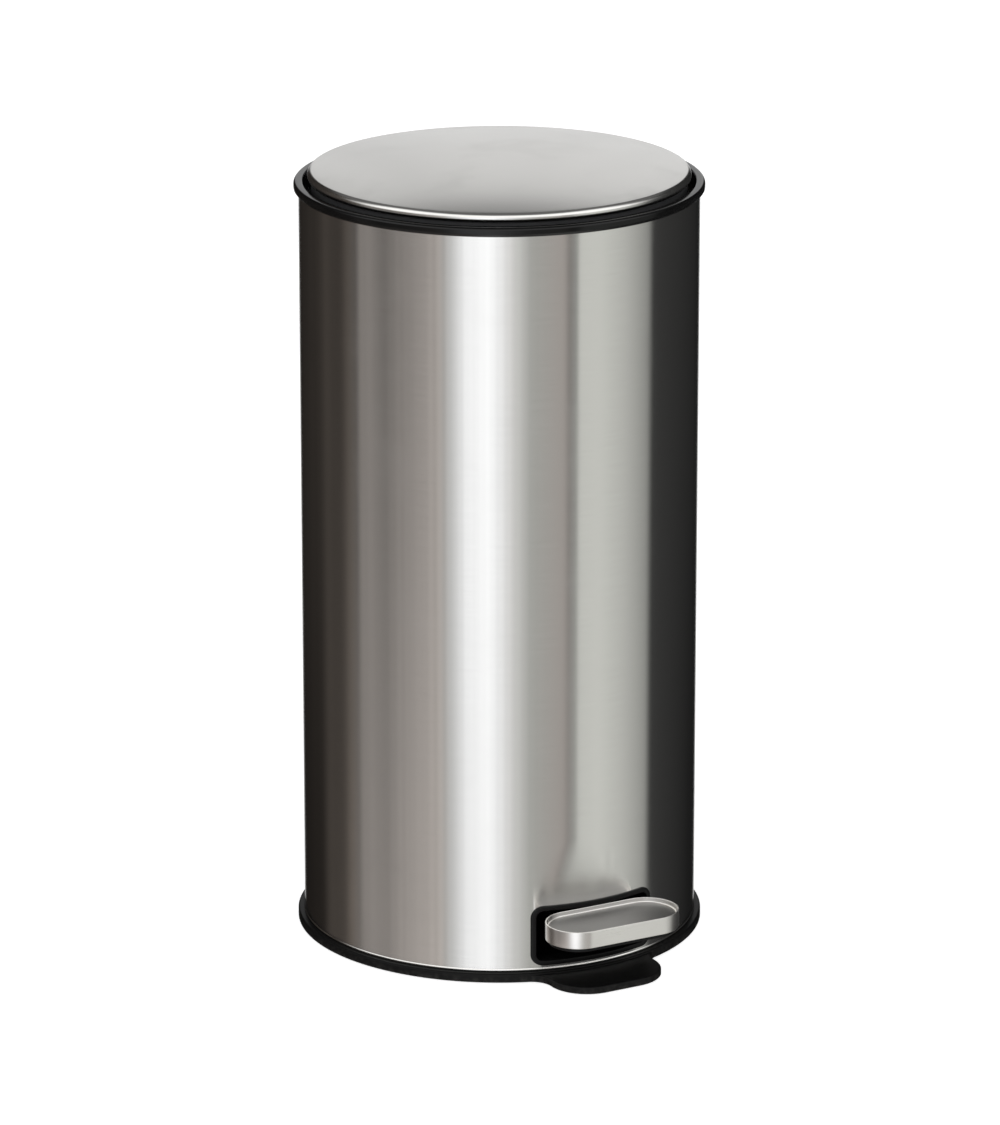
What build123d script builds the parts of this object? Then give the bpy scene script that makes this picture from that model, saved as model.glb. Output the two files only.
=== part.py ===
"""Pedal trash can: round stainless body, crowned lid hinged at the back, pedal at the front.

Millimetres, +Z up. The origin is on the floor, on the body's axis. The pedal faces -Y and the hinge is at +Y.
"""

from build123d import *

import os
from math import asin, cos, degrees, radians, sin, sqrt, tan

# ---- driving dimensions -------------------------------------------------------------------------
GAP = 0.1  # assembly gap between pieces of one body
RUN = 0.05  # radial running clearance of a shaft in its hole

BODY_R = 150.0  # outside of the steel tube
SHEET = 0.7  # steel sheet
TUBE_LOW = 8.05
TUBE_HIGH = 576.0
TUBE_IN = BODY_R - SHEET

BASE_R = 155.0  # base ring
BASE_LOW = 1.0  # the feet hold the ring this far off the floor
BASE_HIGH = 8.0
BASE_ROUND = 1.5
FLOOR_LOW = 3.0  # pan floor
FLOOR_HIGH = 5.5
SPIGOT_IN = 146.2  # upstand of the pan inside the tube
SPIGOT_HIGH = 26.0
HUB_R = 16.0
TONGUE_FRONT = 192.0
TONGUE_WIDTH = 90.0
TONGUE_CORNER = 30.0
TONGUE_FLARE = 16.0
TONGUE_HIGH = 6.5
FOOT_R = 11.0
FOOT_CIRCLE = 120.0
TONGUE_FOOT_Y = -170.0
TONGUE_FOOT_R = 9.0

COLLAR_R = 153.6
COLLAR_TOP = 582.0
COLLAR_IN = 146.6
COLLAR_LIP = 574.7  # lower edge of the lip over the tube
COLLAR_LOW = 556.0
SEAT_LOW = 566.0  # web that carries the bucket
SEAT_HIGH = 568.5

HINGE_Y = 150.0
HINGE_Z = 576.0
HINGE_PIN_R = 2.5
HINGE_PIN_HALF = 33.5
HINGE_GATE = 25.5  # half width of the gate in the collar for the lid's arm
CHEEK_OUT = 34.0
CHEEK_REAR = 156.5
CHEEK_TOP = 580.0
CHEEK_LOW = 560.0
COVER_HALF = 37.0
COVER_REAR = 161.0
COVER_LOW = 546.0
COVER_TOP = 580.5
COVER_WALL = 2.6
NOTCH_LOW = 552.0  # rear notch of the tube, behind the cover

RIM_R = 139.3  # centre of the lid's rolled rim
RIM_Z = 586.2
RIM_ROLL = 4.0
RIM_END = 50.0  # the roll stops this many degrees under the horizontal
CROWN_ANGLE = 10.5  # slope of the crown where it meets the roll
LID_SHEET = 0.8
LINER_R = 141.9
LINER_LOW = 585.3
LINER_HIGH = 587.3
SKIRT_OUT = 140.6
SKIRT_IN = 138.0
SKIRT_LOW = 574.5
ARM_HALF = 24.0
ARM_FRONT = 100.0
ARM_PLATE_LOW = 582.4
FORK_IN = 5.0  # the crank is a fork round the head of the push rod
FORK_OUT = 8.0
LID_OPEN = 80.0

CRANK_REACH = 11.0  # the push rod stands this far in front of the hinge
ROD_Y = HINGE_Y - CRANK_REACH
CRANK_R = CRANK_REACH / cos(radians(LID_OPEN / 2))
CRANK_PIN_Z = HINGE_Z - CRANK_REACH * tan(radians(LID_OPEN / 2))
CRANK_PIN_R = 2.0
ROD_R = 2.5
ROD_TRAVEL = 2 * CRANK_REACH * tan(radians(LID_OPEN / 2))
ROD_LOW = 31.0
ROD_HIGH = 562.0
ROD_SLACK = 0.7  # the crank pin's play in the slot of the rod's head

PIVOT_Z = 25.0
PIVOT_R = 3.0
LEVER_SHEET = 2.5
LEVER_HALF = 15.0
LEVER_TOP = [(-176.0, 44.0), (-128.0, 44.0), (-60.0, 33.5), (30.0, 33.5), (110.0, 27.5), (145.0, 27.5)]
LEVER_FLANGE = 8.0
LEVER_FRONT_HALF = 12.0
LEVER_REAR_HALF = 9.0
ROD_FOOT_GAP = 0.5  # the rod's foot stands this far over the lever
PEDAL_TRAVEL = degrees(asin(ROD_TRAVEL / ROD_Y))

PEDAL_Y = -174.0
PEDAL_WIDTH = 108.0
PEDAL_DEPTH = 49.0
PEDAL_TOP = 54.4
PEDAL_LOW = 41.0
PEDAL_WALL = 1.2
PEDAL_FLOOR = 50.6
CARRIER_LOW = 38.0
NECK_HALF = 30.0  # the carrier's neck through the bezel

BEZEL_WIDTH = 103.0
BEZEL_LOW = 12.0
BEZEL_HIGH = 59.0
BEZEL_CORNER = 9.0
BEZEL_PROUD = 1.4
BEZEL_BAND = 3.8
BEZEL_EDGE = 1.8  # the frame covers this much of the tube round the cut-out

BUCKET_Y = -4.0
BUCKET_TOP_R = 128.5
BUCKET_LOW_R = 112.0
BUCKET_WALL = 2.0
BUCKET_LOW = 66.0
FLANGE_LOW = 568.8
FLANGE_HIGH = 571.3
FLANGE_R = 133.0
FLANGE_REAR = 127.9
BAIL_Z = 562.0
BAIL_R = 118.0
BAIL_WIRE = 2.0
BAIL_END = 128.2

DAMPER_LOW = 69.0
DAMPER_HIGH = 131.0
DAMPER_OUT = 9.5
DAMPER_IN = 7.8


# ---- helpers ------------------------------------------------------------------------------------
def turned(*outline):
    """Solid of revolution about Z from a closed outline of (radius, height) corners."""
    return revolve(make_face(Polyline([(r, 0, z) for r, z in outline], close=True)), Axis.Z, 360)


def tube(out_r, in_r, low, high):
    """Ring about Z."""
    return turned((in_r, low), (out_r, low), (out_r, high), (in_r, high))


def block(x0, x1, y0, y1, z0, z1):
    """Box from its two corners."""
    return Pos((x0 + x1) / 2, (y0 + y1) / 2, (z0 + z1) / 2) * Box(x1 - x0, y1 - y0, z1 - z0)


def post(x, y, low, high, r):
    """Upright cylinder."""
    return Pos(x, y, (low + high) / 2) * Cylinder(r, high - low)


def axle(x0, x1, y, z, r):
    """Cylinder along X."""
    return Pos((x0 + x1) / 2, y, z) * Rot(0, 90, 0) * Cylinder(r, x1 - x0)


def plate(outline, x0, x1):
    """Plate of a (y, z) outline, from x0 to x1."""
    face = make_face(Polyline([(x0, y, z) for y, z in outline], close=True))
    return extrude(face, x1 - x0, dir=(1, 0, 0))


def front_block(width, low, high, corner):
    """Prism with a rounded rectangle facing the front, long enough to pass through the tube's wall."""
    near, far = 100.0, 200.0
    face = Plane.XZ.offset(near) * Pos(0, (low + high) / 2) * RectangleRounded(width, high - low, corner)
    return extrude(face, far - near)


def stadium(inset, low, high):
    """Pedal-shaped prism, smaller all round by inset."""
    face = Pos(0, PEDAL_Y, low) * SlotOverall(PEDAL_WIDTH - 2 * inset, PEDAL_DEPTH - 2 * inset)
    return extrude(face, high - low)


def screw(head_r, head_h, shank_r, length):
    """Pan-head screw with a cross recess: shank along -Z from the origin, head above it."""
    head = Pos(0, 0, head_h / 2) * Cylinder(head_r, head_h)
    head = fillet(head.edges().group_by(Axis.Z)[-1], head_h * 0.4)
    slot_w, slot_l, slot_d = head_r * 0.28, head_r * 1.15, head_h * 0.6
    recess = Pos(0, 0, head_h) * (Box(slot_w, slot_l, 2 * slot_d) + Box(slot_l, slot_w, 2 * slot_d))
    shank = Pos(0, 0, -length / 2) * Cylinder(shank_r, length)
    return head - recess + shank


def group(solids):
    """Several separate solids of one node."""
    return Compound(children=list(solids))


def save(name, shape):
    """Writes one node."""
    export_step(shape, f"parts/{name}.step")


# ---- casing -------------------------------------------------------------------------------------
def body_shell():
    """Steel tube with the pedal cut-out in front and the hinge notch behind."""
    shell = tube(BODY_R, TUBE_IN, TUBE_LOW, TUBE_HIGH)
    edge = BEZEL_EDGE - 0.1
    corner = BEZEL_CORNER - edge
    shell -= front_block(BEZEL_WIDTH - 2 * edge, BEZEL_LOW + edge, BEZEL_HIGH - edge, corner)
    notch_half = CHEEK_OUT + 0.6
    return shell - block(-notch_half, notch_half, 100, 160, NOTCH_LOW, 600)


def tongue_plan():
    """Outline of the base with its foot tongue, flared into the ring."""
    depth = 90.0
    outline = Circle(BASE_R) + Pos(0, depth / 2 - TONGUE_FRONT) * RectangleRounded(
        TONGUE_WIDTH, depth, TONGUE_CORNER
    )
    meet_y = -sqrt(BASE_R**2 - (TONGUE_WIDTH / 2) ** 2)
    flares = [v for v in outline.vertices() if abs(v.Y - meet_y) < 0.5]
    return fillet(flares, TONGUE_FLARE)


def base_screw_places():
    """Centres of the screws that hold the two brackets to the pan: (x, y)."""
    lever = [(x, y) for x in (-25.0, 25.0) for y in (-8.0, 8.0)]
    damper = [(-24.0, 131.0), (24.0, 131.0)]
    return lever + damper


def foot_places():
    """Centres and radii of the rubber feet: (x, y, radius)."""
    places = []
    for i in range(6):
        angle = radians(30 + 60 * i)
        places.append((FOOT_CIRCLE * cos(angle), FOOT_CIRCLE * sin(angle), FOOT_R))
    places.append((0.0, TONGUE_FOOT_Y, TONGUE_FOOT_R))
    return places


def base_pan():
    """Moulded base: outer ring with the tongue, floor, upstand inside the tube, hub and ribs below."""
    slab = extrude(Pos(0, 0, BASE_LOW) * tongue_plan(), TONGUE_HIGH - BASE_LOW)
    slab = fillet(slab.edges().group_by(Axis.Z)[-1], BASE_ROUND)
    ring = turned(
        (SPIGOT_IN, BASE_LOW),
        (BASE_R, BASE_LOW),
        (BASE_R, BASE_HIGH),
        (TUBE_IN - GAP, BASE_HIGH),
        (TUBE_IN - GAP, SPIGOT_HIGH),
        (SPIGOT_IN, SPIGOT_HIGH),
    )
    rims = [e for e in ring.edges().filter_by(GeomType.CIRCLE) if abs(e.radius - BASE_R) < 0.01]
    ring = fillet([e for e in rims if e.center().Z > BASE_HIGH - 0.01], BASE_ROUND)
    pan = slab + ring
    pan -= post(0, 0, 0, FLOOR_LOW, SPIGOT_IN)
    pan -= post(0, 0, FLOOR_HIGH, 30, SPIGOT_IN)
    pan += post(0, 0, 0, FLOOR_LOW + 0.5, HUB_R)
    rib_half, ribs = 1.2, 12
    for i in range(ribs):
        rib = block(HUB_R - 1, SPIGOT_IN + 1, -rib_half, rib_half, BASE_LOW + 0.5, FLOOR_LOW + 0.5)
        pan += Rot(0, 0, 360 / ribs * i) * rib
    boss_r, pilot_r = 5.0, 1.9
    for x, y in base_screw_places():
        pan += post(x, y, BASE_LOW + 0.2, FLOOR_LOW + 0.5, boss_r)
        pan -= post(x, y, 0, 10, pilot_r)
    for x, y, r in foot_places():
        pan -= post(x, y, 0, FLOOR_LOW, r + GAP)
    notch_half, notch_low = 50.0, 10.0
    return pan - block(-notch_half, notch_half, -152, -130, notch_low, 30)


def rubber_feet():
    """Round feet let into the pan's underside, one of them under the tongue."""
    feet = []
    for x, y, r in foot_places():
        foot = post(x, y, 0, FLOOR_LOW, r)
        feet.append(chamfer(foot.edges().group_by(Axis.Z)[0], 0.5))
    return group(feet)


def pedal_bezel():
    """Moulded frame in the pedal cut-out: a lip over the steel and a sleeve through it."""
    lip = front_block(BEZEL_WIDTH, BEZEL_LOW, BEZEL_HIGH, BEZEL_CORNER)
    lip &= tube(BODY_R + BEZEL_PROUD, BODY_R + GAP, 0, 100)
    sleeve = front_block(
        BEZEL_WIDTH - 2 * BEZEL_EDGE,
        BEZEL_LOW + BEZEL_EDGE,
        BEZEL_HIGH - BEZEL_EDGE,
        BEZEL_CORNER - BEZEL_EDGE,
    )
    sleeve_in = 138.0
    sleeve &= tube(BODY_R + 0.5, sleeve_in, 0, 100)
    window = front_block(
        BEZEL_WIDTH - 2 * BEZEL_BAND,
        BEZEL_LOW + BEZEL_BAND,
        BEZEL_HIGH - BEZEL_BAND,
        BEZEL_CORNER - BEZEL_BAND,
    )
    return lip + sleeve - window


def arc_about(centre_r, centre_z, radius, start, end):
    """Arc in the XZ plane about a centre, from one angle to another in degrees."""
    points = []
    for angle in (start, (start + end) / 2, end):
        points.append((centre_r + radius * cos(radians(angle)), 0, centre_z + radius * sin(radians(angle))))
    return ThreePointArc(*points)


def top_collar():
    """Gloss collar: ring, bucket seat and the two hinge cheeks."""
    round_out, round_in, slope = 2.4, 1.4, 2.4
    corners = [
        (COLLAR_IN, COLLAR_LOW),
        (TUBE_IN - GAP, COLLAR_LOW),
        (TUBE_IN - GAP, TUBE_HIGH + GAP),
        (BODY_R + GAP, TUBE_HIGH + GAP),
        (BODY_R + GAP, COLLAR_LIP),
        (COLLAR_R - slope, COLLAR_LIP),
        (COLLAR_R, COLLAR_LIP + slope),
        (COLLAR_R, COLLAR_TOP - round_out),
    ]
    outer = Polyline([(r, 0, z) for r, z in corners])
    crest = arc_about(COLLAR_R - round_out, COLLAR_TOP - round_out, round_out, 0, 90)
    top = Line(crest @ 1, (COLLAR_IN + round_in, 0, COLLAR_TOP))
    lead = arc_about(COLLAR_IN + round_in, COLLAR_TOP - round_in, round_in, 90, 180)
    wall = Line(lead @ 1, outer @ 0)
    collar = revolve(make_face([outer, crest, top, lead, wall]), Axis.Z, 360)
    seat_opening = 1.0
    seat = post(0, 0, SEAT_LOW, SEAT_HIGH, COLLAR_IN + 0.5)
    collar += seat - post(0, BUCKET_Y, SEAT_LOW - 1, SEAT_HIGH + 1, BUCKET_TOP_R + seat_opening)
    for side in (-1, 1):
        x0, x1 = sorted((side * HINGE_GATE, side * CHEEK_OUT))
        collar += block(x0, x1, COLLAR_IN - 4, CHEEK_REAR, CHEEK_LOW, CHEEK_TOP)
    collar -= block(-HINGE_GATE, HINGE_GATE, 133, 175, SEAT_HIGH, 600)
    slot_half = FORK_OUT + 2.5
    collar -= block(-slot_half, slot_half, 128.8, 144.8, SEAT_LOW - 1, SEAT_HIGH + 1)
    collar -= block(-slot_half, slot_half, 140.0, 160.0, COLLAR_LOW + 4, SEAT_HIGH + 1)
    collar -= axle(-60, 60, HINGE_Y, HINGE_Z, HINGE_PIN_R + RUN / 2)
    for x, z in cover_screw_places():
        collar -= Pos(x, CHEEK_REAR - 4, z) * Rot(90, 0, 0) * Cylinder(1.5, 12)
    return collar


def bumper_places():
    """Centres of the rubber pads under the lid's skirt: (x, y)."""
    pad_circle = (SKIRT_IN + SKIRT_OUT) / 2
    return [(pad_circle * sin(radians(a)), -pad_circle * cos(radians(a))) for a in (-110, -40, 40, 110)]


def collar_bumpers():
    """Small rubber pads on the seat that the lid comes down on."""
    pad_r = 2.4
    return group(post(x, y, SEAT_HIGH, SKIRT_LOW - 0.3, pad_r) for x, y in bumper_places())


def cover_screw_places():
    """Centres of the hinge cover's screws: (x, z)."""
    return [(-30.0, 566.0), (30.0, 566.0)]


def hinge_cover():
    """Moulded cover over the hinge notch, closed behind, below and at the sides."""
    height = COVER_TOP - COVER_LOW
    corner = 6.0
    face = Plane.XZ * Pos(0, (COVER_LOW + COVER_TOP) / 2) * RectangleRounded(2 * COVER_HALF, height, corner)
    cover = extrude(face, -COVER_REAR)
    cover &= block(-50, 50, 130, 170, COVER_LOW, COVER_TOP)
    cover = fillet(cover.edges().group_by(Axis.Y)[-1], 3.0)
    inner_half = COVER_HALF - COVER_WALL
    cover -= block(-inner_half, inner_half, 100, COVER_REAR - COVER_WALL, COVER_LOW + COVER_WALL, 600)
    cover -= post(0, 0, 500, 600, BODY_R + 0.2)
    cover -= post(0, 0, COLLAR_LIP - 0.3, 600, COLLAR_R + 0.2)
    for x, z in cover_screw_places():
        cover -= Pos(x, COVER_REAR, z) * Rot(90, 0, 0) * Cylinder(1.8, 12)
    return cover


def hinge_cover_screws():
    """Two screws through the cover into the cheeks."""
    one = Rot(-90, 0, 0) * screw(2.8, 1.4, 1.45, 12.0)
    return group(Pos(x, COVER_REAR, z) * one for x, z in cover_screw_places())


def lid_hinge_pin():
    """Steel pin through the cheeks and the lid's knuckles."""
    return axle(-HINGE_PIN_HALF, HINGE_PIN_HALF, HINGE_Y, HINGE_Z, HINGE_PIN_R)


def lever_bracket():
    """Pressed bracket on the pan floor that holds the pedal lever's pin."""
    plate_half, plate_y, thick = 30.0, 14.0, 2.5
    cheek_in, cheek_y, cheek_r = 17.0, 12.0, 8.0
    bracket = block(-plate_half, plate_half, -plate_y, plate_y, FLOOR_HIGH, FLOOR_HIGH + thick)
    for side in (-1, 1):
        x0, x1 = sorted((side * cheek_in, side * (cheek_in + thick)))
        outline = [(-cheek_y, FLOOR_HIGH), (cheek_y, FLOOR_HIGH), (cheek_r, PIVOT_Z), (-cheek_r, PIVOT_Z)]
        bracket += plate(outline, x0, x1) + axle(x0, x1, 0, PIVOT_Z, cheek_r)
    bracket -= axle(-40, 40, 0, PIVOT_Z, PIVOT_R + RUN / 2)
    for x, y in base_screw_places()[:4]:
        bracket -= post(x, y, 0, 12, 2.2)
    return bracket


def lever_pin():
    """Headed pin of the pedal lever."""
    head_r, head_t, cheek_out = 4.6, 1.5, 19.5
    pin = axle(-cheek_out - head_t, cheek_out + head_t, 0, PIVOT_Z, PIVOT_R)
    for side in (-1, 1):
        x0, x1 = sorted((side * (cheek_out + GAP), side * (cheek_out + GAP + head_t)))
        pin += axle(x0, x1, 0, PIVOT_Z, head_r)
    return pin


def bracket_screws():
    """Screws that hold the two brackets to the pan."""
    thick = 2.5
    one = screw(3.6, 2.0, 1.85, 6.0)
    return group(Pos(x, y, FLOOR_HIGH + thick) * one for x, y in base_screw_places())


def rod_guide(low):
    """Moulded guide on the tube's inside that keeps the push rod upright."""
    height, half, front = 12.0, 12.0, 133.0
    guide = block(-half, half, front, TUBE_IN, low, low + height)
    guide &= post(0, 0, low, low + height, TUBE_IN - GAP)
    return guide - post(0, ROD_Y, low - 1, low + height + 1, ROD_R + RUN)


def damper_bracket():
    """Pressed bridge over the lever's rear end that carries the damper."""
    leg_in, thick = 13.5, 2.5
    low_y, high_y = 124.0, 144.0
    bridge = block(-leg_in - thick, leg_in + thick, low_y, high_y, DAMPER_LOW - thick, DAMPER_LOW)
    for side in (-1, 1):
        x0, x1 = sorted((side * leg_in, side * (leg_in + thick)))
        bridge += block(x0, x1, low_y, high_y, FLOOR_HIGH, DAMPER_LOW)
        x0, x1 = sorted((side * leg_in, side * 30.0))
        bridge += block(x0, x1, low_y, 138, FLOOR_HIGH, FLOOR_HIGH + thick)
    bridge -= post(0, ROD_Y, 0, 100, 4.0)
    for x, y in base_screw_places()[4:]:
        bridge -= post(x, y, 0, 12, 2.2)
    return bridge


def damper_cylinder():
    """Air cylinder of the soft-close damper, open at the top."""
    end_wall = 3.0
    cylinder = post(0, ROD_Y, DAMPER_LOW, DAMPER_HIGH, DAMPER_OUT)
    cylinder -= post(0, ROD_Y, DAMPER_LOW + end_wall, DAMPER_HIGH + 1, DAMPER_IN)
    return cylinder - post(0, ROD_Y, DAMPER_LOW - 1, DAMPER_HIGH, ROD_R + RUN)


def damper_cap():
    """Plug that closes the damper's top end."""
    lid_t, plug = 3.0, 5.0
    cap = post(0, ROD_Y, DAMPER_HIGH, DAMPER_HIGH + lid_t, DAMPER_OUT)
    cap += post(0, ROD_Y, DAMPER_HIGH - plug, DAMPER_HIGH, DAMPER_IN - GAP)
    return cap - post(0, ROD_Y, 100, 150, ROD_R + RUN)


# ---- push rod -----------------------------------------------------------------------------------
def push_rod():
    """Steel rod from the lever to the crank."""
    return post(0, ROD_Y, ROD_LOW, ROD_HIGH, ROD_R)


def rod_foot():
    """Rounded plastic foot on the rod's lower end."""
    foot_r, high = 5.0, 42.0
    low = LEVER_TOP[-1][1] + ROD_FOOT_GAP
    foot = post(0, ROD_Y, low + foot_r, high, foot_r) + Pos(0, ROD_Y, low + foot_r) * Sphere(foot_r)
    return foot - post(0, ROD_Y, ROD_LOW - 0.05, high + 1, ROD_R + 0.02)


def rod_end():
    """Head on the rod's upper end, slotted front to back for the crank pin."""
    half, low, top_margin, side_wall = 4.0, 552.0, 5.2, 1.8
    slot_z = CRANK_PIN_R + ROD_SLACK
    slot_y0 = HINGE_Y - CRANK_R - CRANK_PIN_R - 0.5
    slot_y1 = ROD_Y + CRANK_PIN_R + 0.5
    head = block(-half, half, slot_y0 - side_wall, slot_y1 + side_wall, low, CRANK_PIN_Z + top_margin)
    head = fillet(head.edges().filter_by(Axis.Z), 1.2)
    head -= block(-10, 10, slot_y0, slot_y1, CRANK_PIN_Z - slot_z, CRANK_PIN_Z + slot_z)
    return head - post(0, ROD_Y, low - 1, ROD_HIGH + 0.05, ROD_R + 0.02)


def damper_piston():
    """Piston on the rod, inside the damper."""
    low, high = 76.0, 84.0
    piston = post(0, ROD_Y, low, high, DAMPER_IN - RUN)
    return piston - post(0, ROD_Y, low - 1, high + 1, ROD_R + 0.02)


# ---- pedal --------------------------------------------------------------------------------------
def pedal_cap():
    """Pressed steel tray: a raised wall all round a sunk floor, open below."""
    cap = stadium(0, PEDAL_LOW, PEDAL_TOP)
    cap = fillet(cap.edges().group_by(Axis.Z)[-1], 0.4)
    cap -= stadium(PEDAL_WALL, PEDAL_FLOOR, PEDAL_TOP + 1)
    cap -= stadium(PEDAL_WALL, PEDAL_LOW - 1, PEDAL_FLOOR - PEDAL_WALL)
    half = NECK_HALF + 0.4
    return cap - block(-half, half, -155, -140, PEDAL_LOW - 1, PEDAL_FLOOR - PEDAL_WALL)


def pedal_screw_places():
    """Places along Y of the screws between carrier and lever."""
    return [-140.0, -168.0]


def pedal_carrier():
    """Moulded block under the cap, with a neck through the bezel and a socket for the lever."""
    top = PEDAL_FLOOR - PEDAL_WALL - GAP
    carrier = stadium(PEDAL_WALL + GAP, PEDAL_LOW, top) + stadium(3.0, CARRIER_LOW, PEDAL_LOW)
    carrier += block(-NECK_HALF, NECK_HALF, -155, -132, CARRIER_LOW + 0.5, top - 0.5)
    lever_top = LEVER_TOP[0][1]
    half = LEVER_FRONT_HALF + GAP
    carrier -= block(-half, half, LEVER_TOP[0][0] - 1, -100, lever_top - LEVER_SHEET - GAP, lever_top + GAP)
    for y in pedal_screw_places():
        carrier -= post(0, y, CARRIER_LOW - 1, CARRIER_LOW + 2.2, 3.4)
        carrier -= post(0, y, CARRIER_LOW - 1, 48.4, 1.55)
    return carrier


def pedal_screws():
    """Screws from below through the carrier and the lever's front end."""
    one = Rot(180, 0, 0) * screw(3.1, 1.6, 1.5, 8.0)
    return group(Pos(0, y, CARRIER_LOW + 2.2) * one for y in pedal_screw_places())


def pedal_lever():
    """Pressed steel lever with turned-down flanges and two ears round the bush."""
    under = [(y, z - LEVER_SHEET) for y, z in reversed(LEVER_TOP)]
    strip = plate(LEVER_TOP + under, -LEVER_HALF, LEVER_HALF)
    front_shoulder, rear_shoulder = -124.0, 114.0
    for side in (-1, 1):
        x0, x1 = sorted((side * LEVER_FRONT_HALF, side * 30))
        strip -= block(x0, x1, -200, front_shoulder, 0, 80)
        x0, x1 = sorted((side * LEVER_REAR_HALF, side * 30))
        strip -= block(x0, x1, rear_shoulder, 200, 0, 80)
    flange_line = [(-120.0, 42.0), *LEVER_TOP[2:4], (109.0, 27.6)]
    flange_under = [(y, z - LEVER_FLANGE) for y, z in reversed(flange_line)]
    flange_line = [(y, z - LEVER_SHEET / 2) for y, z in flange_line]
    ear_r, bush_r = 9.0, 5.0
    lever = strip
    for side in (-1, 1):
        x0, x1 = sorted((side * (LEVER_HALF - LEVER_SHEET), side * LEVER_HALF))
        lever += plate(flange_line + flange_under, x0, x1)
        lever += axle(x0, x1, 0, PIVOT_Z, ear_r) & block(-40, 40, -20, 20, 0, LEVER_TOP[2][1])
    lever -= axle(-40, 40, 0, PIVOT_Z, bush_r + RUN / 2)
    for y in pedal_screw_places():
        lever -= post(0, y, 30, 60, 1.7)
    return lever


def lever_bush():
    """Plastic sleeve between the lever's ears, turning on the pin."""
    return axle(-LEVER_HALF, LEVER_HALF, 0, PIVOT_Z, 5.0) - axle(-30, 30, 0, PIVOT_Z, PIVOT_R + RUN)


# ---- lid ----------------------------------------------------------------------------------------
def lid_surface(inset):
    """Crown and rolled rim of the lid as two arcs, inset from the outside, with the crown's pole."""
    roll = RIM_ROLL - inset
    slope = radians(CROWN_ANGLE)
    meet_r = RIM_R + RIM_ROLL * sin(slope)
    crown_r = meet_r / sin(slope)
    crown_z = RIM_Z + RIM_ROLL * cos(slope) - crown_r * cos(slope)
    crown = arc_about(0, crown_z, crown_r - inset, 90, 90 - CROWN_ANGLE)
    rim = arc_about(RIM_R, RIM_Z, roll, 90 - CROWN_ANGLE, -RIM_END)
    return crown, rim


def lid_dome():
    """Steel lid: shallow spherical crown, rolled under at the rim."""
    crown, rim = lid_surface(0)
    inner_crown, inner_rim = lid_surface(LID_SHEET)
    pole = Line(inner_crown @ 0, crown @ 0)
    lip = Line(rim @ 1, inner_rim @ 1)
    return revolve(make_face([crown, rim, lip, inner_rim, inner_crown, pole]), Axis.Z, 360)


def lid_screw_places():
    """Centres of the screws between the hinge arm and the liner: (x, y)."""
    return [(x, y) for x in (-16.0, 16.0) for y in (108.0, 126.0)]


def lid_liner():
    """Moulded inner lid, held in the dome's rolled rim, with a skirt that drops inside the collar."""
    liner = post(0, 0, LINER_LOW, LINER_HIGH, LINER_R)
    liner += tube(SKIRT_OUT, SKIRT_IN, SKIRT_LOW, LINER_LOW + 0.5)
    rib_r, rib_t, rib_h = 96.0, 2.0, 2.5
    liner += tube(rib_r, rib_r - rib_t, LINER_LOW - rib_h, LINER_LOW + 0.5)
    gate = ARM_HALF + 3.0
    liner -= block(-gate, gate, ARM_FRONT, 160, 560, LINER_LOW)
    boss_r, boss_high, pilot_high = 4.0, 590.4, 589.3
    for x, y in lid_screw_places():
        liner += post(x, y, LINER_HIGH - 0.5, boss_high, boss_r)
        liner -= post(x, y, 580, pilot_high, 1.55)
    return liner


def lid_hinge_arm():
    """Cast arm under the liner: plate, two knuckles on the pin and the crank fork for the push rod."""
    knuckle_r = 4.6
    side = [
        (ARM_FRONT, LINER_LOW),
        (136.5, LINER_LOW),
        (139.0, 581.0),
        (HINGE_Y, HINGE_Z + knuckle_r),
        (HINGE_Y, HINGE_Z - knuckle_r),
        (138.0, 572.6),
        (132.0, 579.0),
        (129.0, ARM_PLATE_LOW),
        (ARM_FRONT, ARM_PLATE_LOW),
    ]
    arm = plate(side, -ARM_HALF, ARM_HALF)
    arm -= block(-FORK_IN, FORK_IN, 129.0, 160, 560, ARM_PLATE_LOW)
    arm -= block(-FORK_IN, FORK_IN, 136.4, 160, 560, 600)
    pin_r = 4.0
    drop = radians(LID_OPEN / 2)
    across = (sin(drop), -cos(drop))
    link = [
        (HINGE_Y + knuckle_r * across[0] * 0.9, HINGE_Z + knuckle_r * across[1] * 0.9),
        (ROD_Y + pin_r * across[0], CRANK_PIN_Z + pin_r * across[1]),
        (ROD_Y - pin_r * across[0], CRANK_PIN_Z - pin_r * across[1]),
        (HINGE_Y - knuckle_r * across[0] * 0.9, HINGE_Z - knuckle_r * across[1] * 0.9),
    ]
    for sign in (-1, 1):
        x0, x1 = sorted((sign * FORK_IN, sign * ARM_HALF))
        arm += axle(x0, x1, HINGE_Y, HINGE_Z, knuckle_r)
        x0, x1 = sorted((sign * FORK_IN, sign * FORK_OUT))
        arm += plate(link, x0, x1) + axle(x0, x1, ROD_Y, CRANK_PIN_Z, pin_r)
    arm -= axle(-40, 40, HINGE_Y, HINGE_Z, HINGE_PIN_R + RUN)
    arm -= axle(-40, 40, ROD_Y, CRANK_PIN_Z, CRANK_PIN_R + RUN / 2)
    for x, y in lid_screw_places():
        arm -= post(x, y, 570, 600, 1.7)
    return arm


def crank_pin():
    """Cross pin of the crank fork."""
    half = FORK_OUT + 0.5
    return axle(-half, half, ROD_Y, CRANK_PIN_Z, CRANK_PIN_R)


def lid_screws():
    """Screws from below through the hinge arm into the liner's bosses."""
    one = Rot(180, 0, 0) * screw(3.0, 1.5, 1.5, 6.5)
    return group(Pos(x, y, ARM_PLATE_LOW) * one for x, y in lid_screw_places())


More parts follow.
